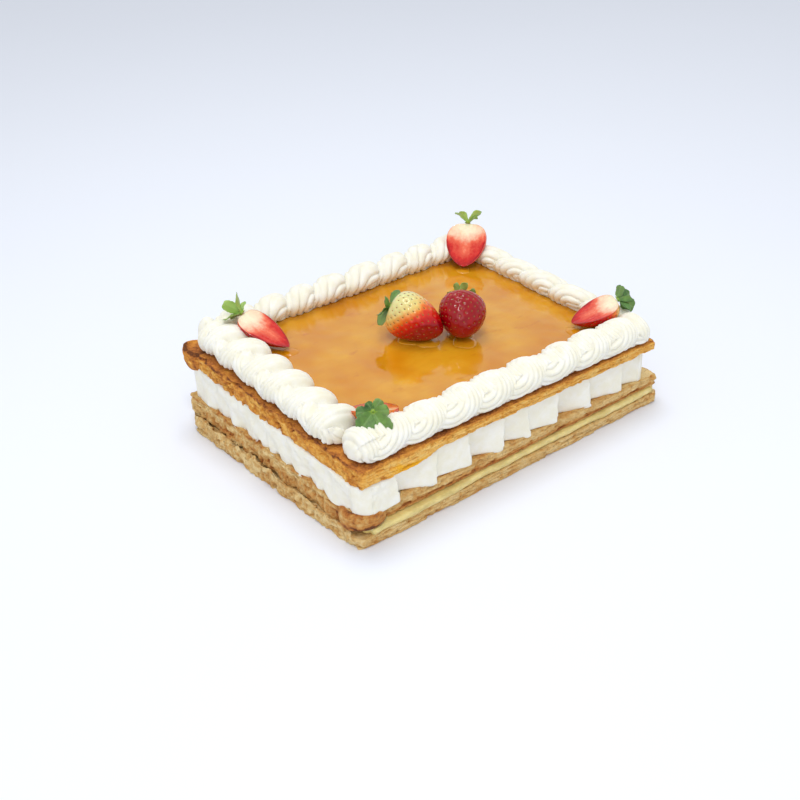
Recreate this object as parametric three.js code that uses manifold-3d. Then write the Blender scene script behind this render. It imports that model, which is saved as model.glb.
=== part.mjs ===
// A rectangular mille feuille cake: three sheets of puff pastry with custard and whipped cream
// between them, a glazed top, a piped cream border and six strawberries.
// Units are millimetres. +X runs along the long side, +Y along the short side, +Z is up.
import * as THREE from 'three';
import Module from 'manifold-3d';

const wasm = await Module();
wasm.setup();

// ---------------------------------------------------------------- driving dimensions
const cakeLength = 286;
const cakeWidth = 216;
const halfLength = cakeLength / 2;
const halfWidth = cakeWidth / 2;
const faceGap = 0.3;            // clearance kept between pieces that touch
const cornerRadius = 5;
const capShare = 0.93;          // a layer's flat faces have a ring at this share of the way out

// Height of each layer's top face over three corners. The layers are not quite level:
// the cream is thickest at the back left corner and thinnest at the front right one.
const baseTop = levelThrough(9, 8, 12);
const custardTop = levelThrough(14, 13, 17);
const middleTop = levelThrough(26, 22, 29);
const creamTop = levelThrough(47, 41, 56);
const pastryTop = levelThrough(60, 53, 68);
const glazeThickness = 1.2;

// How far each layer's corners stand in from the cake's box: [along X, along Y] for the
// front left, front right, back right and back left corner.
const baseInsets = [[4, 2], [0, 0], [0, 5], [0, 12]];
const custardInsets = [[9, 6], [3, 4], [4, 9], [8, 16]];
const middleInsets = [[3, 3], [1, 3], [2, 3], [5, 7]];
const creamInsets = [[8, 5.5], [11, 5], [9, 6], [7, 9]];
const topInsets = [[7, 1], [6, 1], [4, 0], [4, 4]];
const glazeInsets = [[12, 6], [11, 6], [9, 6], [15, 13]];

const panelPitch = 29;          // width of the flat cream panels on the long sides
const panelStep = 4.2;          // how far each panel stands out at its right end
const scallopPitch = 19;        // waves of the cream on the short sides

const shellPitch = 30;          // one piped shell of the border
const shellRound = 9;           // each rope rounds off over this length at its ends

// ---------------------------------------------------------------- materials
const looks = {
  pastry: { color: 0xb9783a, roughness: 0.85, metalness: 0 },
  palePastry: { color: 0xcda26a, roughness: 0.88, metalness: 0 },
  custard: { color: 0xd9c878, roughness: 0.45, metalness: 0 },
  cream: { color: 0xf6f2e6, roughness: 0.5, metalness: 0 },
  glaze: { color: 0xd48a2c, roughness: 0.12, metalness: 0 },
  berry: { color: 0xc8201c, roughness: 0.3, metalness: 0 },
  leaf: { color: 0x4f7f34, roughness: 0.6, metalness: 0 },
};

function material(name) {
  return new THREE.MeshStandardMaterial(looks[name]);
}

// ---------------------------------------------------------------- small helpers
// The plane whose height is given over the front left, front right and back left corners.
function levelThrough(frontLeft, frontRight, backLeft) {
  const alongX = (frontRight - frontLeft) / cakeLength;
  const alongY = (backLeft - frontLeft) / cakeWidth;
  return (x, y) => frontLeft + alongX * (x + halfLength) + alongY * (y + halfWidth);
}

function raised(level, amount) {
  return (x, y) => level(x, y) + amount;
}

// Smooth uneven wave between -1 and 1 along a distance, different for each phase.
function ripple(distance, phase) {
  const long = Math.sin(distance * 0.083 + phase * 2.1);
  const mid = Math.sin(distance * 0.217 + phase * 4.7 + long);
  const short = Math.sin(distance * 0.53 + phase * 1.3);
  return (0.4 * long + 0.35 * mid + 0.25 * short);
}

// A closed skin through rings of equal length, with a point closing each end.
// Each ring runs counter-clockwise seen from the last end.
function loft(firstPoint, rings, lastPoint) {
  const count = rings[0].length;
  const points = [firstPoint, ...rings.flat(), lastPoint];
  const index = [];
  const at = (ring, step) => 1 + ring * count + (step % count);
  const last = points.length - 1;
  for (let step = 0; step < count; step += 1) {
    index.push(0, at(0, step + 1), at(0, step));
    index.push(last, at(rings.length - 1, step), at(rings.length - 1, step + 1));
    for (let ring = 0; ring < rings.length - 1; ring += 1) {
      const a = at(ring, step);
      const b = at(ring, step + 1);
      const c = at(ring + 1, step + 1);
      const d = at(ring + 1, step);
      index.push(a, b, c, a, c, d);
    }
  }
  const geometry = new THREE.BufferGeometry();
  const flat = points.flatMap((p) => [p.x, p.y, p.z]);
  geometry.setAttribute('position', new THREE.Float32BufferAttribute(flat, 3));
  geometry.setIndex(index);
  return geometry;
}

function toSolid(geometry) {
  const mesh = new wasm.Mesh({
    numProp: 3,
    vertProperties: new Float32Array(geometry.attributes.position.array),
    triVerts: new Uint32Array(geometry.index.array),
  });
  return new wasm.Manifold(mesh);
}

function fromSolid(solid) {
  const mesh = solid.getMesh();
  const geometry = new THREE.BufferGeometry();
  geometry.setAttribute('position', new THREE.Float32BufferAttribute(mesh.vertProperties, 3));
  geometry.setIndex(Array.from(mesh.triVerts));
  return geometry;
}

function named(name, geometry, look) {
  const mesh = new THREE.Mesh(geometry, material(look));
  mesh.name = name;
  mesh.geometry.computeVertexNormals();
  return mesh;
}

// ---------------------------------------------------------------- outlines of the layers
// Points round a rectangle with rounded corners, counter-clockwise from the front left.
// Each has its place, the outward direction, the side it is on and how far it is along.
function rimOf(alongLong, alongShort, alongCorner) {
  const x = halfLength - cornerRadius;
  const y = halfWidth - cornerRadius;
  const corners = [[-x, -y, Math.PI], [x, -y, Math.PI * 1.5], [x, y, 0], [-x, y, Math.PI / 2]];
  const rim = [];
  let travelled = 0;
  corners.forEach(([cx, cy, start], side) => {
    for (let step = 0; step < alongCorner; step += 1) {
      const angle = start + (Math.PI / 2) * ((step + 0.5) / alongCorner);
      const out = [Math.cos(angle), Math.sin(angle)];
      const place = [cx + cornerRadius * out[0], cy + cornerRadius * out[1]];
      rim.push({ place, out, side: -1, along: travelled });
      travelled += cornerRadius * (Math.PI / 2) / alongCorner;
    }
    const [nx, ny] = corners[(side + 1) % 4];
    const length = Math.hypot(nx - cx, ny - cy);
    const steps = side % 2 === 0 ? alongLong : alongShort;
    const angle = start + Math.PI / 2;
    const out = [Math.cos(angle), Math.sin(angle)];
    for (let step = 0; step <= steps; step += 1) {
      const share = step / steps;
      const px = cx + (nx - cx) * share + cornerRadius * out[0];
      const py = cy + (ny - cy) * share + cornerRadius * out[1];
      rim.push({ place: [px, py], out, side, share, along: travelled + length * share });
    }
    travelled += length;
  });
  return rim;
}

// Moves a place on the full rectangle inwards by the insets of a layer's four corners.
function drawnIn([x, y], insets) {
  const u = (x / halfLength + 1) / 2;
  const v = (y / halfWidth + 1) / 2;
  const weights = [(1 - u) * (1 - v), u * (1 - v), u * v, (1 - u) * v];
  const signs = [[1, 1], [-1, 1], [-1, -1], [1, -1]];
  let dx = 0;
  let dy = 0;
  weights.forEach((weight, corner) => {
    dx += weight * signs[corner][0] * insets[corner][0];
    dy += weight * signs[corner][1] * insets[corner][1];
  });
  return [x + dx, y + dy];
}

// A layer between two planes. The side is a stack of rings: each has its height as a share
// of the thickness and a rule for how far the rim moves out there.
function layer(rim, insets, low, high, sideRings, lift = () => 0) {
  const ringAt = (share, outset, inward) => rim.map((point) => {
    const [x, y] = drawnIn(point.place, insets);
    const push = outset(point, share);
    const px = (x + point.out[0] * push) * inward;
    const py = (y + point.out[1] * push) * inward;
    const height = low(px, py) + (high(px, py) - low(px, py)) * share;
    const curl = inward === 1 ? lift(px, py, share) : 0;
    return new THREE.Vector3(px, py, height + curl);
  });
  const rings = sideRings.map(({ share, outset }) => ringAt(share, outset, 1));
  const first = sideRings[0];
  const last = sideRings[sideRings.length - 1];
  rings.unshift(ringAt(0, first.outset, capShare));
  rings.push(ringAt(1, last.outset, capShare));
  const bottom = new THREE.Vector3(0, 0, low(0, 0));
  const top = new THREE.Vector3(0, 0, high(0, 0));
  return loft(bottom, rings, top);
}

// ---------------------------------------------------------------- puff pastry
// Flaky leaves show as ledges that run round the side, each wandering in and out.
function flakyRings(phase, depth) {
  const shares = [0, 0.2, 0.42, 0.62, 0.84, 1];
  const bulge = [-1.6, -0.2, -0.9, 0, -0.5, -1.8];
  return shares.map((share, row) => ({
    share,
    outset: (point) => bulge[row] + depth * (ripple(point.along, phase + row * 1.9) - 1),
  }));
}

const pastryRim = rimOf(21, 15, 2);

// The short left side of the bottom sheet arches up off the table for a stretch.
const archCentre = 45;
const archReach = 26;
const archHeight = 3.2;
const archDepth = 14;           // it reaches this far in from the end
const archShare = 0.3;          // and only the lowest leaves of the sheet lift
function archLift(x, y, share) {
  if (x > archDepth - halfLength || share > archShare) {
    return 0;
  }
  const away = Math.abs(y - archCentre) / archReach;
  return away < 1 ? archHeight * Math.cos(away * Math.PI / 2) ** 2 : 0;
}

const table = () => 0;
const pastryBase = named(
  'pastry_base',
  layer(pastryRim, baseInsets, table, baseTop, flakyRings(0.4, 0.8), archLift),
  'palePastry',
);

const middleLow = raised(custardTop, faceGap);
const pastryMiddle = named(
  'pastry_middle',
  layer(pastryRim, middleInsets, middleLow, middleTop, flakyRings(2.3, 1.1)),
  'pastry',
);

// The back left tip of the top sheet has baked into an upward curl.
const tipCurl = 4.5;
const tipReach = 10;
const [tipInX, tipInY] = topInsets[3];
function curlLift(x, y) {
  const away = Math.hypot(x + halfLength - tipInX, y - halfWidth + tipInY) / tipReach;
  return away < 1 ? tipCurl * (1 - away) : 0;
}

const topLow = raised(creamTop, faceGap);
const pastryTopSheet = named(
  'pastry_top',
  layer(pastryRim, topInsets, topLow, pastryTop, flakyRings(5.1, 1.0), curlLift),
  'pastry',
);

// ---------------------------------------------------------------- custard
const custardRim = rimOf(12, 9, 1);
const custardWander = 0.9;
const custardRound = 0.9;       // its side bulges this far at half height
const custardWave = (point) => custardWander * (ripple(point.along, 7.7) - 1);
const custardLayer = named(
  'custard_layer',
  layer(custardRim, custardInsets, raised(baseTop, faceGap), custardTop, [
    { share: 0, outset: (point) => custardWave(point) - custardRound },
    { share: 0.5, outset: custardWave },
    { share: 1, outset: (point) => custardWave(point) - custardRound },
  ]),
  'custard',
);

// ---------------------------------------------------------------- whipped cream
// On the long sides the cream is spread in flat panels, each like a shingle that stands
// out at its right end. On the short sides it is one band with a wavy foot.
const panelSteps = 3;           // points for each panel
const panelCount = Math.round(cakeLength / panelPitch);
const creamRim = rimOf(panelCount * panelSteps, 18, 2);
const panelTopStep = 0.6;       // a panel's step at its top edge, as a share of the one at its foot
const panelFlare = 0.5;         // panels stand this much further out at the foot
const scallopFoot = 2.2;        // depth of the waves at the foot of the short sides
const scallopTop = 0.8;         // and at their top
const creamBelly = 0.8;         // the short sides bulge this far at half height
const creamCorner = -0.5;
const hair = 1e-6;

function creamOut(point, share) {
  if (point.side === 0 || point.side === 2) {
    const panel = point.share * panelCount;
    const within = panel - Math.floor(panel + hair);
    const lean = panelTopStep + (1 - panelTopStep) * (1 - share);
    return panelStep * (within - 1) * lean + panelFlare * (1 - share);
  }
  if (point.side === 1 || point.side === 3) {
    const wave = Math.abs(Math.sin(point.along * Math.PI / scallopPitch));
    const depth = scallopFoot + (scallopTop - scallopFoot) * share;
    return (wave - 1) * depth + creamBelly * Math.sin(share * Math.PI);
  }
  return creamCorner;
}

const creamRound = 0.7;         // the cream's edges are rounded off by this much
const creamRounded = (point, share) => creamOut(point, share) - creamRound;
const creamLayer = named(
  'cream_layer',
  layer(creamRim, creamInsets, raised(middleTop, faceGap), creamTop, [
    { share: 0, outset: creamRounded },
    { share: 0.18, outset: creamOut },
    { share: 0.8, outset: creamOut },
    { share: 1, outset: creamRounded },
  ]),
  'cream',
);

// ---------------------------------------------------------------- glaze
const glazeLow = raised(pastryTop, faceGap);
const glazeHigh = raised(pastryTop, faceGap + glazeThickness);
const glazeRim = rimOf(9, 7, 2);
const glazeWander = 1.2;
const glazeRound = 0.8;         // its edge slopes back by this much
const glazeWave = (point) => glazeWander * (ripple(point.along, 3.3) - 1);
const glazeSheet = named(
  'glaze',
  layer(glazeRim, glazeInsets, glazeLow, glazeHigh, [
    { share: 0, outset: glazeWave },
    { share: 1, outset: (point) => glazeWave(point) - glazeRound },
  ]),
  'glaze',
);

// ---------------------------------------------------------------- strawberries
// Each berry lies from its tip to its hull. Heights are measured above the pastry's top.
// A half berry is cut along its axis, with the cut face turned up.
const berries = [
  { name: 'centre_left', tip: [7, -12, 11.5], hull: [-12, 21, 25.5], radius: 18, half: false },
  { name: 'centre_right', tip: [18, -29, 11.5], hull: [37, -3, 25], radius: 17.5, half: false },
  { name: 'half_front', tip: [-80, -50, 7.5], hull: [-104.5, -80.5, 23], radius: 17, half: true },
  { name: 'half_right', tip: [99, -57, 7], hull: [128.5, -73.5, 23], radius: 16, half: true },
  { name: 'half_back', tip: [103, 70, 5], hull: [124, 87.5, 31], radius: 16.5, half: true },
  { name: 'half_left', tip: [-85, 47, 7], hull: [-100, 77, 25], radius: 15.5, half: true },
];

// Leaves of each hull: how many, how long, and the angle they open to from the axis.
const leaves = {
  centre_left: { count: 6, length: 15, spread: 78 },
  centre_right: { count: 5, length: 13, spread: 62 },
  half_front: { count: 6, length: 18, spread: 66 },
  half_right: { count: 5, length: 14, spread: 50 },
  half_back: { count: 5, length: 15, spread: 38 },
  half_left: { count: 5, length: 15, spread: 40 },
};

const halfDepth = 0.78;         // a half berry is this much shallower than it is wide
const cutSag = 0.5;             // its cut face dips by this much at both ends
const berryRings = 8;
const firstRing = 0.04;         // share of the length at the first ring from the tip
const lastRing = 0.975;         // and at the last one, by the hull
const ringCrowding = 0.9;       // below 1, the rings crowd towards the hull
const lobeCount = 3;
const lobeDepth = 0.03;
const leafThickness = 0.9;
const leafShape = [1, 0.72, 0.2, 0.72];     // reach of the rim from one leaf's tip to the next
const leafSteps = leafShape.length;
const leafDroop = 0.07;
const leafUneven = 0.14;        // the shortest leaf is this much shorter than the longest
const leafTwist = 0.12;         // radians by which the leaves open more or less than the rest
const hubRadius = 2.2;
const hubHeight = 0.15;         // the hub stands this far off the berry, besides the face gap
const leafStart = 0.2;          // and the leaves this far

// Radius of a berry at a share of the way from tip to hull: a blunt cone with shoulders.
function berryRadius(share) {
  return 1.87 * share ** 0.6 * (1 - share) ** 0.35;
}

function berryGeometry({ radius, half, length }, grow = 0) {
  const around = half ? 9 : 12;
  const rings = [];
  for (let row = 0; row < berryRings; row += 1) {
    const share = firstRing + (lastRing - firstRing) * (row / (berryRings - 1)) ** ringCrowding;
    const ring = [];
    for (let step = 0; step < around; step += 1) {
      const turn = half ? Math.PI * (1 + step / (around - 1)) : Math.PI * 2 * (step / around);
      const wide = radius * berryRadius(share) + grow;
      const deep = half ? wide * halfDepth : wide;
      const lift = half ? grow * (1 + 2 * Math.sin(turn)) : 0;
      const swell = 1 + lobeDepth * Math.sin(lobeCount * turn + radius);
      const x = wide * Math.cos(turn) * swell;
      const y = deep * Math.sin(turn) * swell + lift;
      ring.push(new THREE.Vector3(x, y, length * share));
    }
    rings.push(ring);
  }
  const dip = half ? -cutSag : 0;
  const tip = new THREE.Vector3(0, dip, -grow);
  const hull = new THREE.Vector3(0, dip, length + grow);
  return loft(tip, rings, hull);
}

// A hull's leaves as one thin wavy star. Its underside and its top are split alike.
// grow widens the star and lowers its underside, which gives the room it needs elsewhere.
function calyxGeometry({ count, length, spread }, bodyLength, thickness, grow = 0) {
  const slope = THREE.MathUtils.degToRad(spread);
  const around = count * leafSteps;
  const starRing = (reach, offset) => {
    const ring = [];
    for (let step = 0; step < around; step += 1) {
      const turn = (Math.PI * 2 * step) / around;
      const leaf = Math.floor((step + 1) / leafSteps) % count;
      const uneven = 1 - leafUneven + leafUneven * Math.sin(leaf * 2.4 + length);
      const far = (hubRadius + (length - hubRadius) * leafShape[step % leafSteps] * uneven) * reach;
      const open = Math.min(slope + leafTwist * Math.sin(leaf * 3.1 + count), Math.PI / 2);
      const rise = Math.max(far * Math.cos(open) - leafDroop * far * far / length, 0);
      const out = (far + grow) * Math.sin(open);
      const height = bodyLength + faceGap + leafStart + rise + offset;
      ring.push(new THREE.Vector3(out * Math.cos(turn), out * Math.sin(turn), height));
    }
    return ring;
  };
  const hub = bodyLength + faceGap + hubHeight;
  const under = new THREE.Vector3(0, 0, hub - grow);
  const over = new THREE.Vector3(0, 0, hub + thickness);
  const lower = [starRing(0.5, -grow), starRing(1, -grow)];
  const upper = [starRing(1, thickness), starRing(0.5, thickness)];
  return loft(under, [...lower, ...upper], over);
}

// Turns a berry's own frame, with its axis along +Z and its cut face up +Y, into the cake's.
function placeOnCake(group, tip, hull) {
  const from = new THREE.Vector3(tip[0], tip[1], pastryTop(tip[0], tip[1]) + tip[2]);
  const to = new THREE.Vector3(hull[0], hull[1], pastryTop(hull[0], hull[1]) + hull[2]);
  const axis = to.clone().sub(from).normalize();
  const up = new THREE.Vector3(0, 0, 1).addScaledVector(axis, -axis.z).normalize();
  const across = up.clone().cross(axis);
  group.position.copy(from);
  group.quaternion.setFromRotationMatrix(new THREE.Matrix4().makeBasis(across, up, axis));
  return from.distanceTo(to);
}

const roomAbove = 22;           // cream is cleared this far above a half berry's leaves
const bedGrow = 0.4;            // gap between the cream and a half berry
const leafGrow = 0.5;           // gap between the cream and its leaves
const berryGroups = [];
const bedSolids = [];           // room that the cream border leaves for berries and leaves
for (const berry of berries) {
  const group = new THREE.Group();
  const length = placeOnCake(group, berry.tip, berry.hull);
  const leaf = leaves[berry.name];
  const body = named(`strawberry_${berry.name}`, berryGeometry({ ...berry, length }), 'berry');
  const star = calyxGeometry(leaf, length, leafThickness);
  const calyx = named(`calyx_${berry.name}`, star, 'leaf');
  group.add(body, calyx);
  berryGroups.push(group);
  if (berry.half) {
    group.updateMatrixWorld(true);
    const bed = berryGeometry({ ...berry, length }, bedGrow);
    const room = calyxGeometry(leaf, length, roomAbove, leafGrow);
    bedSolids.push(toSolid(bed.applyMatrix4(group.matrixWorld)));
    bedSolids.push(toSolid(room.applyMatrix4(group.matrixWorld)));
  }
}

// ---------------------------------------------------------------- piped cream border
// One rope along each side. Every shell swells and then steps back to the next one, and
// the steps curve forward over the crest.
const borders = {
  front: { from: [-129, -91], to: [136, -91.5], width: 27, height: 17, phase: 0.3 },
  back: { from: [-129, 93.5], to: [136, 95.5], width: 23, height: 20, phase: 1.4 },
  left: { from: [-115, -88], to: [-115.5, 93], width: 26, height: 17, phase: 2.2 },
  right: { from: [126, -90], to: [126, 95], width: 21, height: 15, phase: 3.7 },
};
const ropeStep = 4.3;
const ropeAround = 9;
const ropeEnd = 0.7;            // the rope's skin closes to a point over this length
const shellLead = 0.32;         // how far the crest of a shell runs ahead of its feet
const shellNeck = 0.77;         // size of the rope where one shell starts, against its plain size
const shellCrest = 1.06;        // size of the rope where a shell is widest
const shellSkew = 0.62;         // below 1, a shell is widest in its first half
const ropeSquare = 0.75;        // below 1, the rope's section is fuller than half an ellipse
const cornerSwell = 0.1;        // the rope is this much fatter near its ends
const cornerPlace = 12;         // how far from the end it is fattest
const cornerSpread = 9;
const endWidth = 0.45;          // size of the rope's last ring, against its plain size
const endHeight = 0.3;
const tipHeight = 0.15;         // height of the closing point, against the rope's
const crossGrow = 0.35;         // gap between two ropes that meet at a corner

// A rope's skin. grow makes it that much larger all round, to cut room for it elsewhere.
function ropeGeometry({ from, to, width, height, phase }, grow = 0) {
  const dx = to[0] - from[0];
  const dy = to[1] - from[1];
  const length = Math.hypot(dx, dy);
  const along = [dx / length, dy / length];
  const place = (distance, across, above) => {
    const x = from[0] + along[0] * distance - along[1] * across;
    const y = from[1] + along[1] * distance + along[0] * across;
    return new THREE.Vector3(x, y, glazeHigh(x, y) + faceGap + above);
  };
  const steps = Math.round(length / ropeStep);
  const rings = [];
  for (let step = 0; step <= steps; step += 1) {
    const distance = ropeEnd + (length - 2 * ropeEnd) * (step / steps);
    const toEnd = Math.min(distance, length - distance);
    const open = toEnd < shellRound ? Math.sqrt(1 - (1 - toEnd / shellRound) ** 2) : 1;
    const ring = [];
    for (let turn = 0; turn < ropeAround; turn += 1) {
      const angle = Math.PI * (turn / (ropeAround - 1));
      const foot = turn === 0 || turn === ropeAround - 1;
      const cycle = distance / shellPitch + phase - shellLead * Math.sin(angle);
      const within = cycle - Math.floor(cycle);
      const shell = shellNeck + (shellCrest - shellNeck) * Math.sin(Math.PI * within ** shellSkew);
      const fromCorner = (toEnd - cornerPlace) / cornerSpread;
      const swell = shell * (1 + cornerSwell * Math.exp(-(fromCorner ** 2)));
      const across = (width / 2) * Math.cos(angle) * swell * (endWidth + (1 - endWidth) * open);
      const above = height * Math.sin(angle) ** ropeSquare * swell * (endHeight + (1 - endHeight) * open);
      const wide = across + grow * Math.cos(angle);
      ring.push(place(distance, wide, foot ? -grow : above + grow));
    }
    rings.push(ring);
  }
  const tipAbove = height * tipHeight;
  return loft(place(-grow, 0, tipAbove), rings, place(length + grow, 0, tipAbove));
}

const crossing = [borders.front, borders.back].map((rope) => toSolid(ropeGeometry(rope, crossGrow)));
const borderMeshes = Object.entries(borders).map(([side, rope]) => {
  let solid = toSolid(ropeGeometry(rope));
  if (side === 'left' || side === 'right') {
    crossing.forEach((other) => {
      solid = solid.subtract(other);
    });
  }
  bedSolids.forEach((bed) => {
    solid = solid.subtract(bed);
  });
  const [main] = solid.decompose().sort((a, b) => b.volume() - a.volume());
  return named(`piped_border_${side}`, fromSolid(main), 'cream');
});

// ---------------------------------------------------------------- the whole cake
const cake = new THREE.Group();
cake.name = 'mille_feuille_cake';
cake.add(pastryBase, custardLayer, pastryMiddle, creamLayer, pastryTopSheet, glazeSheet);
cake.add(...borderMeshes);
cake.add(...berryGroups);

export default cake;
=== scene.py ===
# Looks of a rectangular mille feuille cake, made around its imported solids.
# Sizes in the dictionaries are in millimetres, and become metres as a mesh is made.
import math

import bpy
import numpy as np
from mathutils import Matrix, Vector


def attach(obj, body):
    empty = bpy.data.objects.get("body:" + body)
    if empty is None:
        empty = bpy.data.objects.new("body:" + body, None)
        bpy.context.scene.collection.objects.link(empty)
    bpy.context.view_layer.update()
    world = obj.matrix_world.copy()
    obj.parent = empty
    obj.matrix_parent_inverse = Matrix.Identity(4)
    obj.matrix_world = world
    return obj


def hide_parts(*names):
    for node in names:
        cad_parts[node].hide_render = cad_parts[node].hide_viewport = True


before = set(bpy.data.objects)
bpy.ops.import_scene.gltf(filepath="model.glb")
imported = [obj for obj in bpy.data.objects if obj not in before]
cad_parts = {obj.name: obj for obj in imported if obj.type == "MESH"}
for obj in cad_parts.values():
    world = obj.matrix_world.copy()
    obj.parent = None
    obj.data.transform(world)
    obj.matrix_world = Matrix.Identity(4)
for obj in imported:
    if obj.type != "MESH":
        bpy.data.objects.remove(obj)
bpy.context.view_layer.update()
scene = bpy.context.scene
scene.view_settings.view_transform = "Standard"
mm = 0.001

cake = {
    "length": 286.0,
    "width": 216.0,
    "cornerRadius": 5.0,
    "gap": 0.3,
    # heights over the front left, front right and back left corner
    "baseTop": (9, 8, 12),
    "custardTop": (14, 13, 17),
    "middleTop": (26, 22, 29),
    "creamTop": (47, 41, 56),
    "pastryTop": (60, 53, 68),
    "glazeThickness": 1.2,
    "frontLift": 5.0,
    "liftAlong": (-98, -62),  # from none to all of the front's lift
    "liftAcross": (-76, -101),
    "liftFade": (0.75, 0.92),  # sizes of a cap's rings
}


view = {
    # mm and degrees; the lens and its sensor's width in mm
    "place": (-476.1, -591.3, 467.4), "heading": -37.6, "dip": 31.0, "roll": -2.5,
    "lens": 52.82, "sensor": 36,
}


def makeCamera():
    # stands at its place, turned by its heading, dipped below level and rolled
    data = bpy.data.cameras.new("camera")
    data.sensor_width = view["sensor"]
    data.lens = view["lens"]
    camera = bpy.data.objects.new("camera", data)
    heading = Matrix.Rotation(math.radians(view["heading"]), 4, "Z")
    tilt = Matrix.Rotation(math.radians(90 - view["dip"]), 4, "X")
    roll = Matrix.Rotation(math.radians(view["roll"]), 4, "Z")
    camera.matrix_world = Matrix.Translation(Vector(view["place"]) * mm) @ heading @ tilt @ roll
    scene.collection.objects.link(camera)
    scene.camera = camera


studio = {
    "worldColour": (0.95, 0.97, 1.0),
    "worldStrength": 0.745,
    "lamps": (
        # name, place, looks at, size, watts
        ("overhead", (60, 200, 1300), (0, 0, 30), 460, 4.5),
        ("window", (-850, -950, 900), (0, 0, 40), 900, 2.5),
        ("sparkle", (-380, -480, 1040), (0, 0, 80), 140, 2.2),
    ),
    "floorSize": 14000,
}


def makeStudio():
    # an even sky, and square lamps that each look at a place on the cake
    world = bpy.data.worlds.new("studio")
    world.use_nodes = True
    backdrop = world.node_tree.nodes["Background"]
    backdrop.inputs["Color"].default_value = (*studio["worldColour"], 1)
    backdrop.inputs["Strength"].default_value = studio["worldStrength"]
    scene.world = world
    for name, place, target, size, watts in studio["lamps"]:
        data = bpy.data.lights.new(name, "AREA")
        data.size = size * mm
        data.energy = watts
        lamp = bpy.data.objects.new(name, data)
        aim = (Vector(target) - Vector(place)).to_track_quat("-Z", "Y")
        lamp.matrix_world = Matrix.Translation(Vector(place) * mm) @ aim.to_matrix().to_4x4()
        scene.collection.objects.link(lamp)


def tint(red, green, blue):
    # a colour, 0 to 255, as the linear values that a shader takes
    share = np.array([red, green, blue]) / 255
    linear = np.where(share <= 0.04045, share / 12.92, ((share + 0.055) / 1.055) ** 2.4)
    return (*linear.tolist(), 1.0)


def add(tree, kind, inputs=None, **settings):
    # one shader node, with its settings, and a value or a link for each input
    node = tree.nodes.new("ShaderNode" + kind)
    for name, value in settings.items():
        setattr(node, name, value)
    for name, value in (inputs or {}).items():
        if isinstance(value, bpy.types.NodeSocket):
            tree.links.new(value, node.inputs[name])
        else:
            node.inputs[name].default_value = value
    return node


def ramp(tree, factor, stops):
    # a colour for each value from 0 to 1, blended from stop to stop
    node = add(tree, "ValToRGB", {"Fac": factor})
    elements = node.color_ramp.elements
    while len(elements) < len(stops):
        elements.new(0.5)
    for element, (place, colour) in zip(elements, stops):
        element.position = place
        element.color = tint(*colour)
    return node.outputs["Color"]


def blendColours(tree, mask, first, second):
    # two colours mixed by a mask; each is a link, or red, green and blue from 0 to 255
    node = add(tree, "Mix", {0: mask}, data_type="RGBA")
    for socket, colour in ((6, first), (7, second)):
        if isinstance(colour, tuple):
            node.inputs[socket].default_value = tint(*colour)
        else:
            tree.links.new(colour, node.inputs[socket])
    return node.outputs[2]


def calculate(tree, operation, first, second=0.0, clamp=False):
    # one step of arithmetic on two values or links
    return add(tree, "Math", {0: first, 1: second}, operation=operation, use_clamp=clamp).outputs[0]


def attribute(tree, name):
    # a value that the mesh holds for each of its points
    return add(tree, "Attribute", attribute_name=name).outputs["Fac"]


def makeGroup(name, inputs, outputs):
    # an empty node group with named inputs and outputs; inputs map a name to its first value
    group = bpy.data.node_groups.new(name, "ShaderNodeTree")
    for label, value in inputs.items():
        kind = "NodeSocketVector" if value is None else "NodeSocketFloat"
        socket = group.interface.new_socket(name=label, in_out="INPUT", socket_type=kind)
        if value is not None:
            socket.default_value = value
    for label in outputs:
        group.interface.new_socket(name=label, in_out="OUTPUT", socket_type="NodeSocketFloat")
    return group, group.nodes.new("NodeGroupInput"), group.nodes.new("NodeGroupOutput")


def makeMottleGroup():
    # soft patches: noise of a size in mm, spread between two levels to a mask from 0 to 1
    inputs = {"Vector": None, "Size": 10.0, "Detail": 3.0, "Low": 0.4, "High": 0.6}
    group, given, result = makeGroup("softMottle", inputs, ["Mask"])
    scale = calculate(group, "DIVIDE", 1 / mm, given.outputs["Size"])
    noise = add(group, "TexNoise", {"Vector": given.outputs["Vector"], "Scale": scale,
                                    "Detail": given.outputs["Detail"], "Roughness": 0.6})
    spread = add(group, "MapRange", {"Value": noise.outputs["Fac"], "From Min": given.outputs["Low"],
                                     "From Max": given.outputs["High"]})
    group.links.new(spread.outputs["Result"], result.inputs["Mask"])
    return group


def makeGrainGroup():
    # small relief: fine noise with round pits, both of a size in mm
    inputs = {"Vector": None, "Size": 1.0, "Pits": 0.5}
    group, given, result = makeGroup("fineGrain", inputs, ["Height"])
    scale = calculate(group, "DIVIDE", 1 / mm, given.outputs["Size"])
    noise = add(group, "TexNoise", {"Vector": given.outputs["Vector"], "Scale": scale,
                                    "Detail": 4.0, "Roughness": 0.62})
    cells = add(group, "TexVoronoi", {"Vector": given.outputs["Vector"], "Scale": scale})
    pits = calculate(group, "SUBTRACT", 1.0, cells.outputs["Distance"], clamp=True)
    pits = calculate(group, "POWER", pits, 4.0)
    pits = calculate(group, "MULTIPLY", pits, given.outputs["Pits"])
    height = calculate(group, "SUBTRACT", noise.outputs["Fac"], pits)
    group.links.new(height, result.inputs["Height"])
    return group


mottleGroup = makeMottleGroup()
grainGroup = makeGrainGroup()


def mottle(tree, place, size, low, high, detail=3.0, scale=None):
    # soft patches as a mask; a scale packs them closer along an axis
    if scale:
        place = add(tree, "Mapping", {"Vector": place, "Scale": scale}).outputs["Vector"]
    inputs = {"Vector": place, "Size": size, "Detail": detail, "Low": low, "High": high}
    return add(tree, "Group", inputs, node_tree=mottleGroup).outputs["Mask"]


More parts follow.
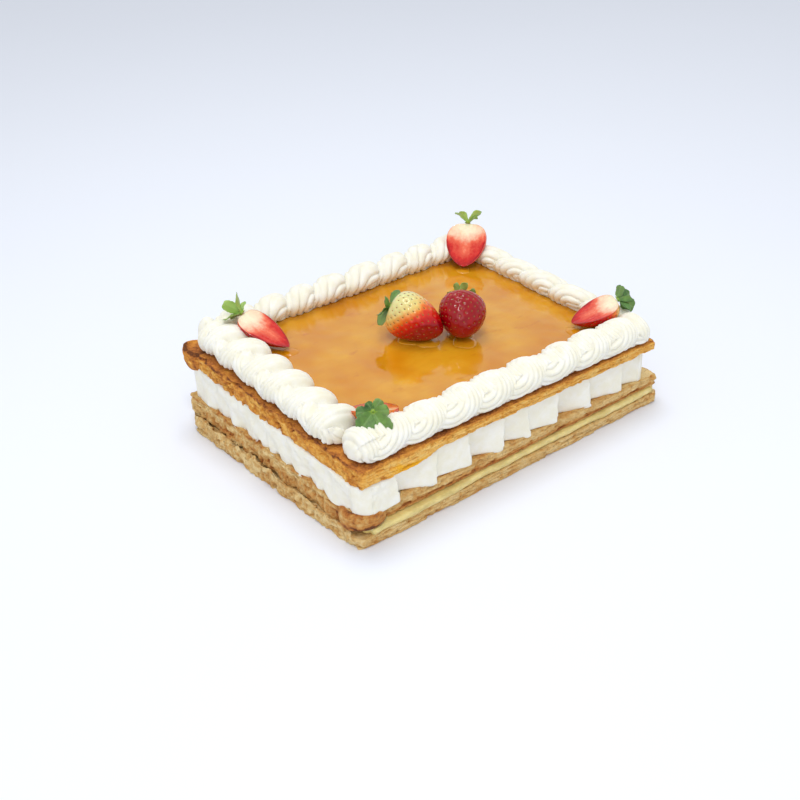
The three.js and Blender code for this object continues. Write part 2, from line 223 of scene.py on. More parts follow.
def varied(tree, place, value, width, patches, clamp=True):
    # the value moved up and down by patches, by half the width each way
    change = calculate(tree, "SUBTRACT", mottle(tree, place, *patches), 0.5)
    return calculate(tree, "ADD", value, calculate(tree, "MULTIPLY", change, width), clamp)


def relief(tree, place, size, pits, depth, strength=1.0):
    # the grain as a bump of a depth in mm
    grain = add(tree, "Group", {"Vector": place, "Size": size, "Pits": pits}, node_tree=grainGroup)
    bump = {"Height": grain.outputs["Height"], "Distance": depth * mm, "Strength": strength}
    return add(tree, "Bump", bump).outputs["Normal"]


def newMaterial(name, look):
    # a material, its tree and its object coordinates; "plain" sets the shader's own values
    material = bpy.data.materials.new(name)
    material.use_nodes = True
    tree = material.node_tree
    for label, value in look["plain"].items():
        tree.nodes["Principled BSDF"].inputs[label].default_value = value
    return material, tree, add(tree, "TexCoord").outputs["Object"]


def finishMaterial(material, look, place, colour, mask):
    # links the colour and the relief, and the roughness, whose two values a mask leads between
    tree = material.node_tree
    inputs = tree.nodes["Principled BSDF"].inputs
    tree.links.new(colour, inputs["Base Color"])
    if "roughness" in look:
        low, high = look["roughness"]
        rough = add(tree, "MapRange", {"Value": mask, "To Min": low, "To Max": high})
        tree.links.new(rough.outputs["Result"], inputs["Roughness"])
    if "relief" in look:
        tree.links.new(relief(tree, place, *look["relief"]), inputs["Normal"])
    return material


def makeToned(name, look):
    # two tones in soft patches, and further ones where an attribute of the mesh paints them
    material, tree, place = newMaterial(name, look)
    patches = mottle(tree, place, *look["patches"])
    colour = blendColours(tree, patches, *look["tones"])
    for label, tone in look.get("painted", {}).items():
        colour = blendColours(tree, attribute(tree, label), colour, tone)
    return finishMaterial(material, look, place, colour, patches)


# In the dictionaries of materials a colour is red, green and blue from 0 to 255. Patches are
# their size in mm, the two levels of noise that they fade between, its detail and its scale.
# Relief is the grain's size in mm, its pits, its depth in mm and its strength.
floorLook = {"tones": ((237, 241, 250), (239, 243, 252)), "patches": (900.0, 0.2, 0.8),
             "plain": {"Roughness": 0.9}}
creamLook = {
    "tones": ((244, 242, 232), (239, 235, 216)),
    "patches": (9.0, 0.35, 0.65),
    "relief": (1.6, 0.35, 0.25, 0.6),
    "plain": {"Roughness": 0.5, "Specular IOR Level": 0.35, "Subsurface Weight": 0.35,
              "Subsurface Scale": 3 * mm, "Subsurface Radius": (1.0, 0.95, 0.75)},
}
custardLook = {
    "tones": ((236, 216, 142), (208, 186, 112)),
    "patches": (10.0, 0.35, 0.65, 3.0, (1, 1, 2.5)),
    "roughness": (0.28, 0.5),
    "relief": (2.4, 0.2, 0.3, 0.7),
    "plain": {"Specular IOR Level": 0.5, "Subsurface Weight": 0.3, "Subsurface Scale": 3 * mm,
              "Subsurface Radius": (1.0, 0.8, 0.3), "Coat Weight": 0.4, "Coat Roughness": 0.2},
}
seedLook = {"tones": ((186, 118, 44), (120, 84, 32)), "patches": (4.0, 0.35, 0.65),
            "relief": (0.5, 0.2, 0.1), "plain": {"Roughness": 0.4}}
leafLook = {
    "tones": ((40, 84, 30), (92, 138, 54)),
    "painted": {"young": (168, 200, 98), "vein": (132, 166, 96), "hub": (158, 190, 72)},
    "patches": (5.0, 0.3, 0.7),
    "roughness": (0.36, 0.55),
    "relief": (1.1, 0.2, 0.25),
    "plain": {"Specular IOR Level": 0.5, "Coat Weight": 0.25, "Coat Roughness": 0.25,
              "Subsurface Weight": 0.1, "Subsurface Scale": 1 * mm},
}


pastryLook = {
    # each baked tone: a share of toast and its colour, and the colour of its specks
    "golden": {
        "stops": ((0.0, (248, 208, 124)), (0.3, (236, 176, 80)), (0.55, (214, 142, 56)),
                  (0.8, (174, 102, 42)), (1.0, (100, 54, 22))),
        "speck": (158, 96, 40),
    },
    "pale": {
        "stops": ((0.0, (236, 208, 150)), (0.3, (218, 178, 112)), (0.55, (204, 146, 76)),
                  (0.8, (176, 106, 46)), (1.0, (104, 58, 28))),
        "speck": (140, 108, 76),
    },
    # flakes, blush and grain: how much they vary the toast, and their patches
    "varies": ((0.24, (4.5, 0.3, 0.7, 5.0, (1, 1, 1.6)), False), (0.24, (15.0, 0.35, 0.65)),
               (0.2, (1.5, 0.3, 0.7, 2.0))),
    "specks": (2.2, 0.58, 0.68, 3.0, (1, 1, 1.3)), "speckShare": 0.5,
    "ooze": (246, 178, 26),
    "roughness": (0.82, 0.14),  # dry, and under the oozing glaze
    "relief": (1.3, 0.6, 0.8),
    "plain": {"Specular IOR Level": 0.3},
}


def makePastry(name):
    # toast from the mesh, varied by three sizes of noise, chooses the colour; specks lie over
    # it, and glaze has oozed over both where the mesh is wet. The toast also carries painted shade:
    # darker creases, breaks and pits in the sides, and in part the top sheet's dark shelf
    look, baked = pastryLook, pastryLook[name]
    material, tree, place = newMaterial(name + "Pastry", look)
    toastAndShade = attribute(tree, "toastAndShade")
    for row in look["varies"]:
        toastAndShade = varied(tree, place, toastAndShade, *row)
    specks = calculate(tree, "MULTIPLY", mottle(tree, place, *look["specks"]), look["speckShare"])
    crumb = blendColours(tree, specks, ramp(tree, toastAndShade, baked["stops"]), baked["speck"])
    wet = attribute(tree, "wet")
    return finishMaterial(material, look, place, blendColours(tree, wet, crumb, look["ooze"]), wet)


glazeLook = {
    "thin": (220, 157, 33), "thick": (206, 132, 8), "fruit": (182, 92, 30),
    "depth": (48.0, 0.38, 0.62, 2.0),
    "streaks": (11.0, 0.42, 0.66, 4.0, (0.55, 1.3, 1)), "streakShare": 0.35,
    "bits": (14.0, 0.62, 0.78, 5.0, (0.6, 1.5, 1)), "bitShare": 0.6,
    "roughness": (0.07, 0.16),
    "relief": (6.0, 0.0, 0.16, 0.5),
    "plain": {"IOR": 1.5, "Coat Weight": 0.4, "Coat Roughness": 0.03, "Subsurface Weight": 0.15,
              "Subsurface Scale": 2 * mm, "Subsurface Radius": (1.0, 0.5, 0.1)},
}


def makeGlaze():
    # thin and thick jam in wide patches, with streaks of the thick and bits of fruit
    look = glazeLook
    material, tree, place = newMaterial("amberGlaze", look)
    depth, streaks, bits = (mottle(tree, place, *look[label]) for label in ("depth", "streaks", "bits"))
    colour = blendColours(tree, depth, look["thin"], look["thick"])
    streaky = calculate(tree, "MULTIPLY", streaks, look["streakShare"])
    colour = blendColours(tree, streaky, colour, look["thick"])
    fruity = calculate(tree, "MULTIPLY", bits, look["bitShare"])
    return finishMaterial(material, look, place, blendColours(tree, fruity, colour, look["fruit"]), streaks)


berryLook = {
    # a share of ripeness or of red in the pulp, and its colour
    "skin": ((0.0, (222, 216, 148)), (0.24, (232, 200, 116)), (0.44, (236, 132, 50)),
             (0.62, (222, 56, 26)), (0.8, (196, 8, 12)), (1.0, (150, 0, 14))),
    "flesh": ((0.0, (248, 238, 206)), (0.28, (246, 200, 168)), (0.52, (238, 112, 80)),
              (0.78, (212, 34, 26)), (1.0, (158, 0, 12))),
    # how much blotches and fibres vary them, and their patches
    "ripe": (0.14, (5.0, 0.3, 0.7)), "pulp": (0.1, (2.2, 0.35, 0.65, 4.0)),
    "roughness": (0.24, 0.34),  # skin, cut face
    "relief": (1.8, 0.25, 0.3, 0.9),
    "plain": {"Specular IOR Level": 0.05, "Coat Weight": 0.8, "Coat Roughness": 0.03,
              "Subsurface Weight": 0.18, "Subsurface Scale": 2.5 * mm,
              "Subsurface Radius": (1.0, 0.25, 0.15)},
}


def makeBerry():
    # blotched skin, and fibrous flesh where the mesh is a cut face
    look = berryLook
    material, tree, place = newMaterial("strawberryFlesh", look)
    ripe, pulp = (varied(tree, place, attribute(tree, label), *look[label]) for label in ("ripe", "pulp"))
    cut = attribute(tree, "cutFace")
    colour = blendColours(tree, cut, ramp(tree, ripe, look["skin"]), ramp(tree, pulp, look["flesh"]))
    return finishMaterial(material, look, place, colour, cut)


def makeMesh(name, points, faceSets, attributes=None):
    # points in mm; each face set is an array of quads or of triangles
    mesh = bpy.data.meshes.new(name)
    corners = np.concatenate([faces.ravel() for faces in faceSets]).astype(np.int32)
    sizes = np.concatenate([np.full(len(faces), faces.shape[1]) for faces in faceSets])
    starts = np.concatenate([[0], np.cumsum(sizes)[:-1]]).astype(np.int32)
    mesh.vertices.add(len(points))
    mesh.vertices.foreach_set("co", (points * mm).astype(np.float32).ravel())
    mesh.loops.add(len(corners))
    mesh.loops.foreach_set("vertex_index", corners)
    mesh.polygons.add(len(sizes))
    mesh.polygons.foreach_set("loop_start", starts)
    mesh.update(calc_edges=True)
    for label, values in (attributes or {}).items():
        layer = mesh.attributes.new(label, "FLOAT", "POINT")
        layer.data.foreach_set("value", np.clip(values, 0, 1).astype(np.float32).ravel())
    mesh.shade_smooth()
    return mesh


def loftFaces(rows, columns, offset=0):
    # quads between neighbouring rings, and a fan to the two points that come after them
    here = np.arange(columns)
    following = (here + 1) % columns
    row = np.arange(rows - 1)[:, None] * columns
    quads = np.stack([row + here, row + following, row + columns + following, row + columns + here], -1)
    first = np.full(columns, rows * columns)
    top = (rows - 1) * columns
    fans = np.concatenate([np.stack([first, following, here], 1),
                           np.stack([first + 1, top + here, top + following], 1)])
    return quads.reshape(-1, 4) + offset, fans + offset


def loftPoints(rings, first, last):
    # the rings' points in their order, then a point to close each end
    return np.concatenate([rings.reshape(-1, 3), [first], [last]])


def ringValues(values, first, last):
    # a value for each of a loft's points
    return np.concatenate([values.ravel(), [first, last]])


def joinLofts(lofts):
    # points and faces of several lofts, each given as its rings and its two closing points
    points, faceSets, count = [], [], 0
    for rings, first, last in lofts:
        points.append(loftPoints(rings, first, last))
        faceSets.append(loftFaces(*rings.shape[:2], count))
        count += len(points[-1])
    return np.concatenate(points), [np.concatenate(faces) for faces in zip(*faceSets)]


def addPiece(name, mesh, material, slot, *nodes):
    # a mesh as a piece of the cake, shown in place of its CAD nodes
    piece = bpy.data.objects.new(name, mesh)
    scene.collection.objects.link(piece)
    mesh.materials.append(material)
    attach(piece, "root")
    if nodes:
        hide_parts(*nodes)
    print(name, len(mesh.polygons), "faces")


def addLoft(name, rings, ends, material, slot, node, shades=None):
    # one closed loft as a piece
    mesh = makeMesh(name, loftPoints(rings, *ends), loftFaces(*rings.shape[:2]), shades)
    addPiece(name, mesh, material, slot, node)


def makeFloor():
    # one wide square, level with the cake's underside
    corners = np.array([(-1, -1, 0), (1, -1, 0), (1, 1, 0), (-1, 1, 0)]) * studio["floorSize"] / 2
    floor = bpy.data.objects.new("floor", makeMesh("floor", corners, [np.array([[0, 1, 2, 3]])]))
    floor.data.materials.append(makeToned("paleTable", floorLook))
    scene.collection.objects.link(floor)


def cloud(points, size, seed):
    # Smooth random value from -1 to 1 in space: random numbers at the corners of boxes of
    # this size, eased from corner to corner.
    count = 32
    table = np.random.default_rng(seed).uniform(-1, 1, (count, count, count))
    place = points / np.asarray(size, float)
    low = np.floor(place).astype(int)
    part = place - low
    ease = part * part * (3 - 2 * part)
    value = 0
    for corner in np.ndindex(2, 2, 2):
        x, y, z = np.moveaxis((low + corner) % count, -1, 0)
        value = value + np.where(corner, ease, 1 - ease).prod(-1) * table[x, y, z]
    return value


def smooth(value, low, high):
    # 0 up to low and 1 from high on, eased between; with low above high it falls instead
    part = np.clip((value - low) / (high - low), 0, 1)
    return part * part * (3 - 2 * part)


def halfOval(place):
    # height of half an oval over places from -1 to 1
    return np.sqrt(np.clip(1 - place ** 2, 0, 1))


def quarterRound(part):
    # rises from 0 to 1 like a quarter circle as its part goes from 0 to 1
    return halfOval(1 - np.clip(part, 0, 1))


def ovalPoints(wide, deep, turn, up):
    # points round an oval, or round many, at their heights
    return np.stack(np.broadcast_arrays(wide * np.cos(turn), deep * np.sin(turn), up), -1)


def level(heights, x, y):
    # the plane through heights given over the front left, front right and back left corner
    frontLeft, frontRight, backLeft = heights
    alongX = (frontRight - frontLeft) * (x / cake["length"] + 0.5)
    alongY = (backLeft - frontLeft) * (y / cake["width"] + 0.5)
    return frontLeft + alongX + alongY


def raised(heights, amount):
    # the same plane, higher by an amount
    return tuple(height + amount for height in heights)


def middles(low, high):
    # the points that close a layer, in the middle of its underside and of its top
    return (0, 0, level(low, 0, 0)), (0, 0, level(high, 0, 0))


halfSize = np.array([cake["length"], cake["width"]]) / 2
cornerSigns = np.array([(-1, -1), (1, -1), (1, 1), (-1, 1)])  # from the front left, counter-clockwise


def insetShift(place, insets):
    # how far to move inwards at places from -1 to 1, from [along X, along Y] at each corner
    u, v = (place[..., 0] + 1) / 2, (place[..., 1] + 1) / 2
    weights = np.stack([(1 - u) * (1 - v), u * (1 - v), u * v, (1 - u) * v], -1)
    return weights @ (-cornerSigns * np.array(insets, float))


def outline(spacing, insets, radius=cake["cornerRadius"]):
    # Evenly spaced places round a rectangle with round corners, from the front left and
    # counter-clockwise, with the outward direction and the side that each is on. The
    # corners then stand in by their insets.
    corners = cornerSigns * (halfSize - radius)
    places, outs, sides = [], [], []
    quarter = math.pi / 2
    arcSteps = max(3, round(radius * quarter / spacing))
    for side in range(4):
        start = math.pi + side * quarter
        angles = start + quarter * (np.arange(arcSteps) + 0.5) / arcSteps
        reach = corners[(side + 1) % 4] - corners[side]
        steps = round(np.abs(reach).sum() / spacing)
        share = np.linspace(0, 1, steps + 1)[:, None]
        straightOut = np.array([math.cos(start + quarter), math.sin(start + quarter)])
        arcOut = np.stack([np.cos(angles), np.sin(angles)], 1)
        places += [corners[side] + radius * arcOut, corners[side] + share * reach + radius * straightOut]
        outs += [arcOut, np.repeat(straightOut[None], steps + 1, 0)]
        sides += [np.full(arcSteps, -1), np.full(steps + 1, side)]
    place, out, side = np.concatenate(places), np.concatenate(outs), np.concatenate(sides)
    return {"place": place + insetShift(place / halfSize, insets), "out": out, "side": side}


def groundPoints(rim):
    # the rim's places as points at height 0
    return np.pad(rim["place"], ((0, 0), (0, 1)))


def frontLift(rim):
    # along most of the front the cream reaches higher and the top sheet is thinner by this much
    x, y = rim["place"].T
    return cake["frontLift"] * smooth(x, *cake["liftAlong"]) * smooth(y, *cake["liftAcross"])


def bandRows(rim, share, push, low, high):
    # rows of a layer's side; share is the height within the layer, push the way outwards
    xy = rim["place"] + rim["out"] * push[..., None]
    bottom = level(low, xy[..., 0], xy[..., 1])
    top = level(high, xy[..., 0], xy[..., 1])
    return np.concatenate([xy, (bottom + (top - bottom) * share)[..., None]], -1)


def capRows(row, sizes, heights, lift=0):
    # a layer's flat face: the side's last row again at smaller sizes; a lift fades inwards
    sizes = np.asarray(sizes)[:, None]
    xy = row[None, :, :2] * sizes[..., None]
    z = level(heights, xy[..., 0], xy[..., 1]) + lift * smooth(sizes, *cake["liftFade"])
    return np.concatenate([xy, z[..., None]], -1)


# Toast is how baked a side is, with more of it at its rim, in a low line, on the shelf on top
# and at the short ends; it also darkens creases, breaks and pits as painted shade, and the top
# sheet's shelf is partly painted shade under the piped border. Insets are those of the four
# corners, low and high the sheet's faces.
pastrySheets = {
    "pastryBase": {
        "node": "pastry_base", "slot": "pale_pastry", "look": "pale", "seed": 11, "leaves": 4,
        "toastAndShade": 0.2, "rimToast": 0.06, "line": 0.1, "shelf": 0.2, "endToast": 0.04, "endRim": 0.0,
        "radius": 6.0, "lift": 0,
        "insets": ((4, 2), (0, 0), (0, 5), (0, 12)), "low": (0, 0, 0), "high": cake["baseTop"],
        "arch": {"centre": 45, "reach": 26, "height": 3.2, "depth": 14, "share": 0.3}, "skirt": (0, 1),
    },
    "pastryMiddle": {
        "node": "pastry_middle", "slot": "golden_pastry", "look": "pale", "seed": 23, "leaves": 5,
        "toastAndShade": 0.22, "rimToast": 0.1, "line": 0.52, "shelf": 0.42, "endToast": 0.0, "endRim": 0.22,
        "radius": 2.5, "lift": 0,
        "insets": ((6, 5), (0, 3), (2, 3), (3, 7)), "low": raised(cake["custardTop"], cake["gap"]),
        "high": cake["middleTop"], "skirt": (1, 0),
        "lump": {"centre": (-126.5, -92.5), "radius": 15.5, "round": 5.0, "droop": 1.6, "toastAndShade": 0.3},
    },
    "pastryTop": {
        "node": "pastry_top", "slot": "golden_pastry", "look": "golden", "seed": 37, "leaves": 6,
        # this sheet's shelf is darkened partly as painted shade under the piped border
        "toastAndShade": 0.2, "rimToast": 0.3, "line": 0.0, "shelf": 0.72, "endToast": 0.26, "endRim": 0.1,
        "radius": 2.5, "lift": 1,
        "insets": ((7, 1), (6, 1), (4, 0), (4, 4)), "low": raised(cake["creamTop"], cake["gap"]),
        "high": cake["pastryTop"], "curl": {"height": 3.0, "reach": 13}, "ooze": (-118, -76), "lobes": 3.4,
        "lump": {"centre": (-129, 94), "radius": 13.5, "round": 4.0, "droop": 0.0, "toastAndShade": 0.12},
    },
}
flakes = {
    "spacing": 0.8, "wander": 0.91, "sway": 0.42, "crease": 0.8, "breaks": 1.2, "round": 0.8,
    "crumb": 0.4, "pit": 1.1, "endCrumb": 1.1, "endMottle": 0.3, "skirt": 7.6,
    "lineAt": 0.2, "lineWidth": 0.15, "apart": 97.0, "seamSeed": 97, "lumpFade": (1.35, 1.05),
    "endFrom": (132, 138),  # the short ends begin here, from the middle
    "cornerTo": (-101, -86),  # the front corners end here
    "leafRows": ((0.04, 0.0), (0.2, 0.85), (0.5, 1.0), (0.8, 0.85), (0.96, 0.0)),  # place, how far out
    "capSizes": (0.995, 0.988, 0.978, 0.965, 0.945, 0.92, 0.88, 0.75, 0.5), "bumpyCaps": 6,
    # noise: size in mm, and what is added to the sheet's seed
    "noise": {
        "sway": (13, 0), "wideReach": (24, 1), "midReach": (7, 2), "fineReach": (2.4, 3), "broken": (11, 4),
        "crease": (4, 5), "cap": (3.5, 6), "ooze": ((9, 9, 60), 7), "pit": ((3.4, 3.4, 2.2), 8),
        "crumb": ((2.6, 2.6, 1.7), 9), "fineCrumb": (1.4, 10), "capToastAndShade": (6, 11), "lumps": ((8, 8, 6), 12),
        "line": (20, 14), "rimToast": (9, 15), "endToast": (2.4, 16), "lobes": (15, 17),
    },
}


def sheetNoise(look, label, points):
    # one of the noises in the dictionary, with the sheet's own seed
    size, step = flakes["noise"][label]
    return cloud(points, size, look["seed"] + step)


def sheetSide(look, rim):
    # Each baked leaf is five rows: a crease, three over its lip and a crease again. A leaf's
    # lip wanders in and out, its edges sway up and down, and in places it has broken away.
    # Crumbs and pits in the side are noise in space, on top of that.
    leaves, leafRows = look["leaves"], flakes["leafRows"]
    leaf = np.repeat(np.arange(leaves), len(leafRows))
    inLeaf, lip = np.tile(np.array(leafRows).T, leaves)[:, :, None]
    edgePoints = groundPoints(rim) + np.arange(leaves + 1)[:, None, None] * np.array([0, 0, flakes["apart"]])
    inner = np.ones((leaves + 1, 1))
    inner[[0, -1]] = 0
    edges = np.arange(leaves + 1)[:, None] + flakes["sway"] * inner * sheetNoise(look, "sway", edgePoints)
    share = (edges[leaf] * (1 - inLeaf) + edges[leaf + 1] * inLeaf) / leaves
    lips = edgePoints[:-1]
    reach = 0.5 * sheetNoise(look, "wideReach", lips) + 0.3 * sheetNoise(look, "midReach", lips)
    reach = reach + 0.2 * sheetNoise(look, "fineReach", lips)
    broken = smooth(sheetNoise(look, "broken", lips), 0.2, 0.55)[leaf]
    fine = sheetNoise(look, "crease", lips)[leaf]
    out = flakes["wander"] * (reach[leaf] - 1) - flakes["breaks"] * broken
    end = smooth(np.abs(rim["place"][:, 0]), *flakes["endFrom"])
    push = out - (1 - 0.7 * end) * flakes["crease"] * (1 - lip) * (0.6 + 0.5 * fine)
    push = push - (1 - 0.8 * end) * flakes["round"] * np.abs(2 * share - 1) ** 3
    rows = bandRows(rim, share, push, look["low"], look["high"])
    pit = smooth(sheetNoise(look, "pit", rows), 0.25, 0.7)
    crumb = sheetNoise(look, "crumb", rows) + 0.5 * sheetNoise(look, "fineCrumb", rows) - 0.6
    rough = 1 + flakes["endCrumb"] * end
    push = push + rough * (flakes["crumb"] * crumb - flakes["pit"] * pit)
    push = push + end * (sheetNoise(look, "lumps", rows) + 0.4)
    push = push - np.quantile(push, 0.75)  # most of the side then stands behind its outline
    rows = bandRows(rim, share, push, look["low"], look["high"])
    return {"rows": rows, "share": share, "push": push, "lip": lip, "end": end, "broken": broken,
            "fine": fine, "pit": pit, "lumpToast": 0}


def addLump(side, lump):
    # round its centre the side stands at the lump's radius, bulged as half an oval
    rows, share = side["rows"], side["share"]
    away = rows[..., :2] - lump["centre"]
    distance = np.linalg.norm(away, axis=-1, keepdims=True)
    near = smooth(distance[..., 0], *(fade * lump["radius"] for fade in flakes["lumpFade"]))
    radius = lump["radius"] - lump["round"] * (1 - halfOval(2 * share - 1)) + 0.35 * side["push"]
    rows[..., :2] += near[..., None] * away * (radius[..., None] / distance - 1)
    rows[..., 2] -= lump["droop"] * near * smooth(share, 0.7, 0)
    side["lumpToast"] = lump["toastAndShade"] * near


def addSheetForms(look, rim, side):
    # Up and down moves of the side: a skirt over the short ends, an arch over the floor at the
    # left, a curled tip at the back left, and lobes that hang over the cream.
    rows, share, end = side["rows"], side["share"], side["end"]
    offCorner = smooth(rim["place"][:, 1], *flakes["cornerTo"])  # 0 at the front corners, 1 behind them
    if "skirt" in look:
        below, above = look["skirt"]
        seam = 0.45 + 0.35 * cloud(groundPoints(rim) * (0, 1, 0), 9, flakes["seamSeed"])
        reach = above * seam * smooth(share, 0.4, 1) - below * (1 - seam) * smooth(share, 0.5, 0)
        rows[..., 2] += flakes["skirt"] * end * offCorner * reach
    if "arch" in look:
        arch = look["arch"]
        away = np.abs(rows[..., 1] - arch["centre"]) / arch["reach"]
        leftEnd = rows[..., 0] < arch["depth"] - cake["length"] / 2
        rise = arch["height"] * np.cos(np.minimum(away, 1) * math.pi / 2) ** 2
        rows[..., 2] += rise * leftEnd * np.clip(1 - share / arch["share"], 0, 1)
    if "curl" in look:
        tip = cornerSigns[3] * (halfSize - look["insets"][3])
        away = np.hypot(*(rows[..., :2] - tip).transpose(2, 0, 1)) / look["curl"]["reach"]
        rows[..., 2] += look["curl"]["height"] * np.clip(1 - away, 0, 1)
    if "lobes" in look:
        hanging = np.clip(0.5 + 0.8 * sheetNoise(look, "lobes", groundPoints(rim)), 0, 1.2)
        rows[..., 2] -= look["lobes"] * end * offCorner * hanging * smooth(share, 0.5, 0)


def sideToastAndShade(look, rim, side):
    # more toasted at the upper edge, along a line low in the side, and at the short ends and the
    # lump by their own amounts; higher in creases, breaks and pits, which is painted shade
    ground, rows, share, end = groundPoints(rim), side["rows"], side["share"], side["end"]
    rimward = smooth(share + 0.06 * sheetNoise(look, "rimToast", ground), 0.78, 0.96)
    lineAway = (share - flakes["lineAt"] - 0.05 * sheetNoise(look, "line", ground)) / flakes["lineWidth"]
    toastAndShade = look["toastAndShade"] + look["rimToast"] * rimward
    toastAndShade = toastAndShade + look["line"] * np.exp(-(lineAway ** 2)) * (1 - 0.5 * end)
    # painted shade: creases, broken leaves and pits are made darker
    toastAndShade = toastAndShade + 0.1 * (1 - side["lip"]) * (0.5 + side["fine"])
    toastAndShade = toastAndShade + 0.1 * side["broken"] + 0.18 * side["pit"]
    toastAndShade = toastAndShade + end * (look["endToast"] + flakes["endMottle"] * sheetNoise(look, "endToast", rows))
    toastAndShade = toastAndShade + end * look["endRim"] * smooth(share, 0.7, 0.95)
    return toastAndShade + side["lumpToast"]


def sideWet(look, rim, side):
    # the glaze has oozed down a stretch of the front, from its top edge to a wavy line
    if "ooze" not in look:
        return np.zeros_like(side["share"])
    (start, end), rows = look["ooze"], side["rows"]
    stretch = smooth(rows[..., 0], start, start + 14) * smooth(rows[..., 0], end, end - 14)
    edge = 0.45 + 0.2 * sheetNoise(look, "ooze", rows)
    return stretch * (rim["side"] == 0) * smooth(side["share"], edge + 0.12, edge - 0.12)


def makePastrySheet(name, look, material):
    # the flaky side, closed by a flat cap below and one above with low bumps near its edge
    rim = outline(flakes["spacing"], look["insets"], look["radius"])
    side = sheetSide(look, rim)
    if "lump" in look:
        addLump(side, look["lump"])
    addSheetForms(look, rim, side)
    rows = side["rows"]
    topCap = capRows(rows[-1], flakes["capSizes"], look["high"])
    bumpy = topCap[:flakes["bumpyCaps"]]
    bumpy[..., 2] += 0.35 * sheetNoise(look, "cap", bumpy) - 0.2
    lift = look["lift"] * frontLift(rim)
    rows[..., 2] += lift * (1 - side["share"])
    bottomCap = capRows(rows[0], flakes["capSizes"], look["low"], lift)[::-1]
    # the shelf's value: on the top sheet it is partly painted shade under the piped border
    capToastAndShade = look["shelf"] + 0.12 * sheetNoise(look, "capToastAndShade", topCap)
    capToastAndShade = capToastAndShade - 0.3 * smooth(topCap[..., 0], 90, 138)
    underToast = np.full(bottomCap.shape[:2], look["toastAndShade"] + 0.2)
    toastAndShade = np.concatenate([underToast, sideToastAndShade(look, rim, side), capToastAndShade])
    wet = np.pad(sideWet(look, rim, side), ((len(bottomCap), len(topCap)), (0, 0)))
    shades = {"toastAndShade": ringValues(toastAndShade, look["shelf"], look["shelf"]), "wet": ringValues(wet, 0, 0)}
    rings = np.concatenate([bottomCap, rows, topCap])
    addLoft(name, rings, middles(look["low"], look["high"]), material, look["slot"], look["node"], shades)


custard = {
    "spacing": 1.3, "rows": 13, "seed": 51, "round": 1.3, "wander": 0.77, "sag": 0.6,
    "front": 2.6, "frontAlong": (-20, -70),  # more along this stretch of the front
    "capSizes": (0.97, 0.6), "insets": ((10, 3.5), (1, 1.5), (4, 9), (8, 16)),
}


def makeCustardLayer(material):
    # A soft band: it bulges as half an oval, more where it was squeezed out, and sags there.
    rim = outline(custard["spacing"], custard["insets"])
    share = np.linspace(0, 1, custard["rows"])[:, None]
    ground = groundPoints(rim)[None]
    squeeze = cloud(ground, 17, custard["seed"]) + 0.4 * cloud(ground, 5, custard["seed"] + 1)
    bulge = halfOval(2 * share - 1)
    push = custard["wander"] * (squeeze - 1) + custard["round"] * (bulge - 1)
    squeezed = (rim["side"] == 0) * (0.35 + smooth(rim["place"][:, 0], *custard["frontAlong"]))
    low, high = raised(cake["baseTop"], cake["gap"]), cake["custardTop"]
    rows = bandRows(rim, share, push + custard["front"] * squeezed, low, high)
    rows[..., 2] -= custard["sag"] * bulge * np.clip(squeeze, 0, 1)
    under, over = capRows(rows[0], custard["capSizes"], low), capRows(rows[-1], custard["capSizes"], high)
    rings = np.concatenate([under[::-1], rows, over])
    addLoft("custardLayer", rings, middles(low, high), material, "custard", "custard_layer")


creamLayer = {
    "spacing": 0.8, "rows": 26, "seed": 61,
    "radius": 9, "insets": ((8, 4.0), (11, 6.5), (9, 6), (7, 9)),
    "frontSeams": (-150, -106, -73, -44, -13, 11, 39, 72, 106, 129, 150),
    "backSeams": (-150, -118, -84, -55, -24, 6, 34, 67, 98, 124, 150),
    "panelOut": 2.4, "panelStep": 9.0, "panelTop": 0.5, "panelHang": 4.2, "seamLean": 2.2,
    "wavePitch": 17.0, "waveDepth": 2.2, "waveOut": 2.6, "waveHang": 4.0,
    "cornerOut": 1.5, "cornerHang": 0.8, "edge": 1.6, "edgeReach": 0.09, "hangReach": 0.5,
    # the near corner, where the panels end in ragged cream: along X, and how far out and down
    "raggedFrom": (-104, -124), "raggedOut": (1.5, 1.1), "raggedHang": (3.6, 2.0),
    "underSizes": (0.98, 0.6), "topSizes": (0.985, 0.96, 0.92, 0.85, 0.75, 0.6),
}


def shingle(x, seams):
    # place within a flat panel, from 0 at its left end to 1 at its right end, and the panel
    seams = np.array(seams, float)
    panel = np.clip(np.searchsorted(seams, x, side="right") - 1, 0, len(seams) - 2)
    return (x - seams[panel]) / (seams[panel + 1] - seams[panel]), panel


def creamPanels(rim, share):
    # how far the long sides stand out and hang: flat panels, each of them further out and
    # lower towards its right end, with seams that lean
    look, x = creamLayer, rim["place"][:, 0]
    leaning = look["seamLean"] * (share - 0.5)
    front = shingle(x + leaning * np.sin(x * 0.11), look["frontSeams"])
    back = shingle(-x + leaning * np.sin(x * 0.13), look["backSeams"])
    within, panel = (np.where(rim["side"] == 2, *pair) for pair in zip(back, front))
    uneven = 0.8 + 0.35 * np.sin(panel * 2.3)
    lean = look["panelTop"] + (1 - look["panelTop"]) * (1 - share)
    push = (look["panelOut"] + look["panelStep"] * (within - 1) * uneven) * lean
    return push, look["panelHang"] * uneven * within ** 1.6 * (1 - 0.4 * smooth(within, 0.88, 1))


def creamWaves(rim, share, ground):
    # how far the short sides stand out and hang: one band in soft rounded waves
    look, y = creamLayer, rim["place"][:, 1]
    sway = y * math.pi / look["wavePitch"] + 1.1 * np.sin(y * 0.047) + 0.5 * np.sin(y * 0.11)
    wave = np.abs(np.sin(sway))
    push = look["waveOut"] + look["waveDepth"] * (wave ** 2 - 1) * (1 - share) ** 1.5
    push = push + 1.8 * cloud(ground, (11, 11, 12), look["seed"]) + 0.8 * cloud(ground, 5, look["seed"] + 5)
    return push, look["waveHang"] * (1 - (1 - wave) ** 2)


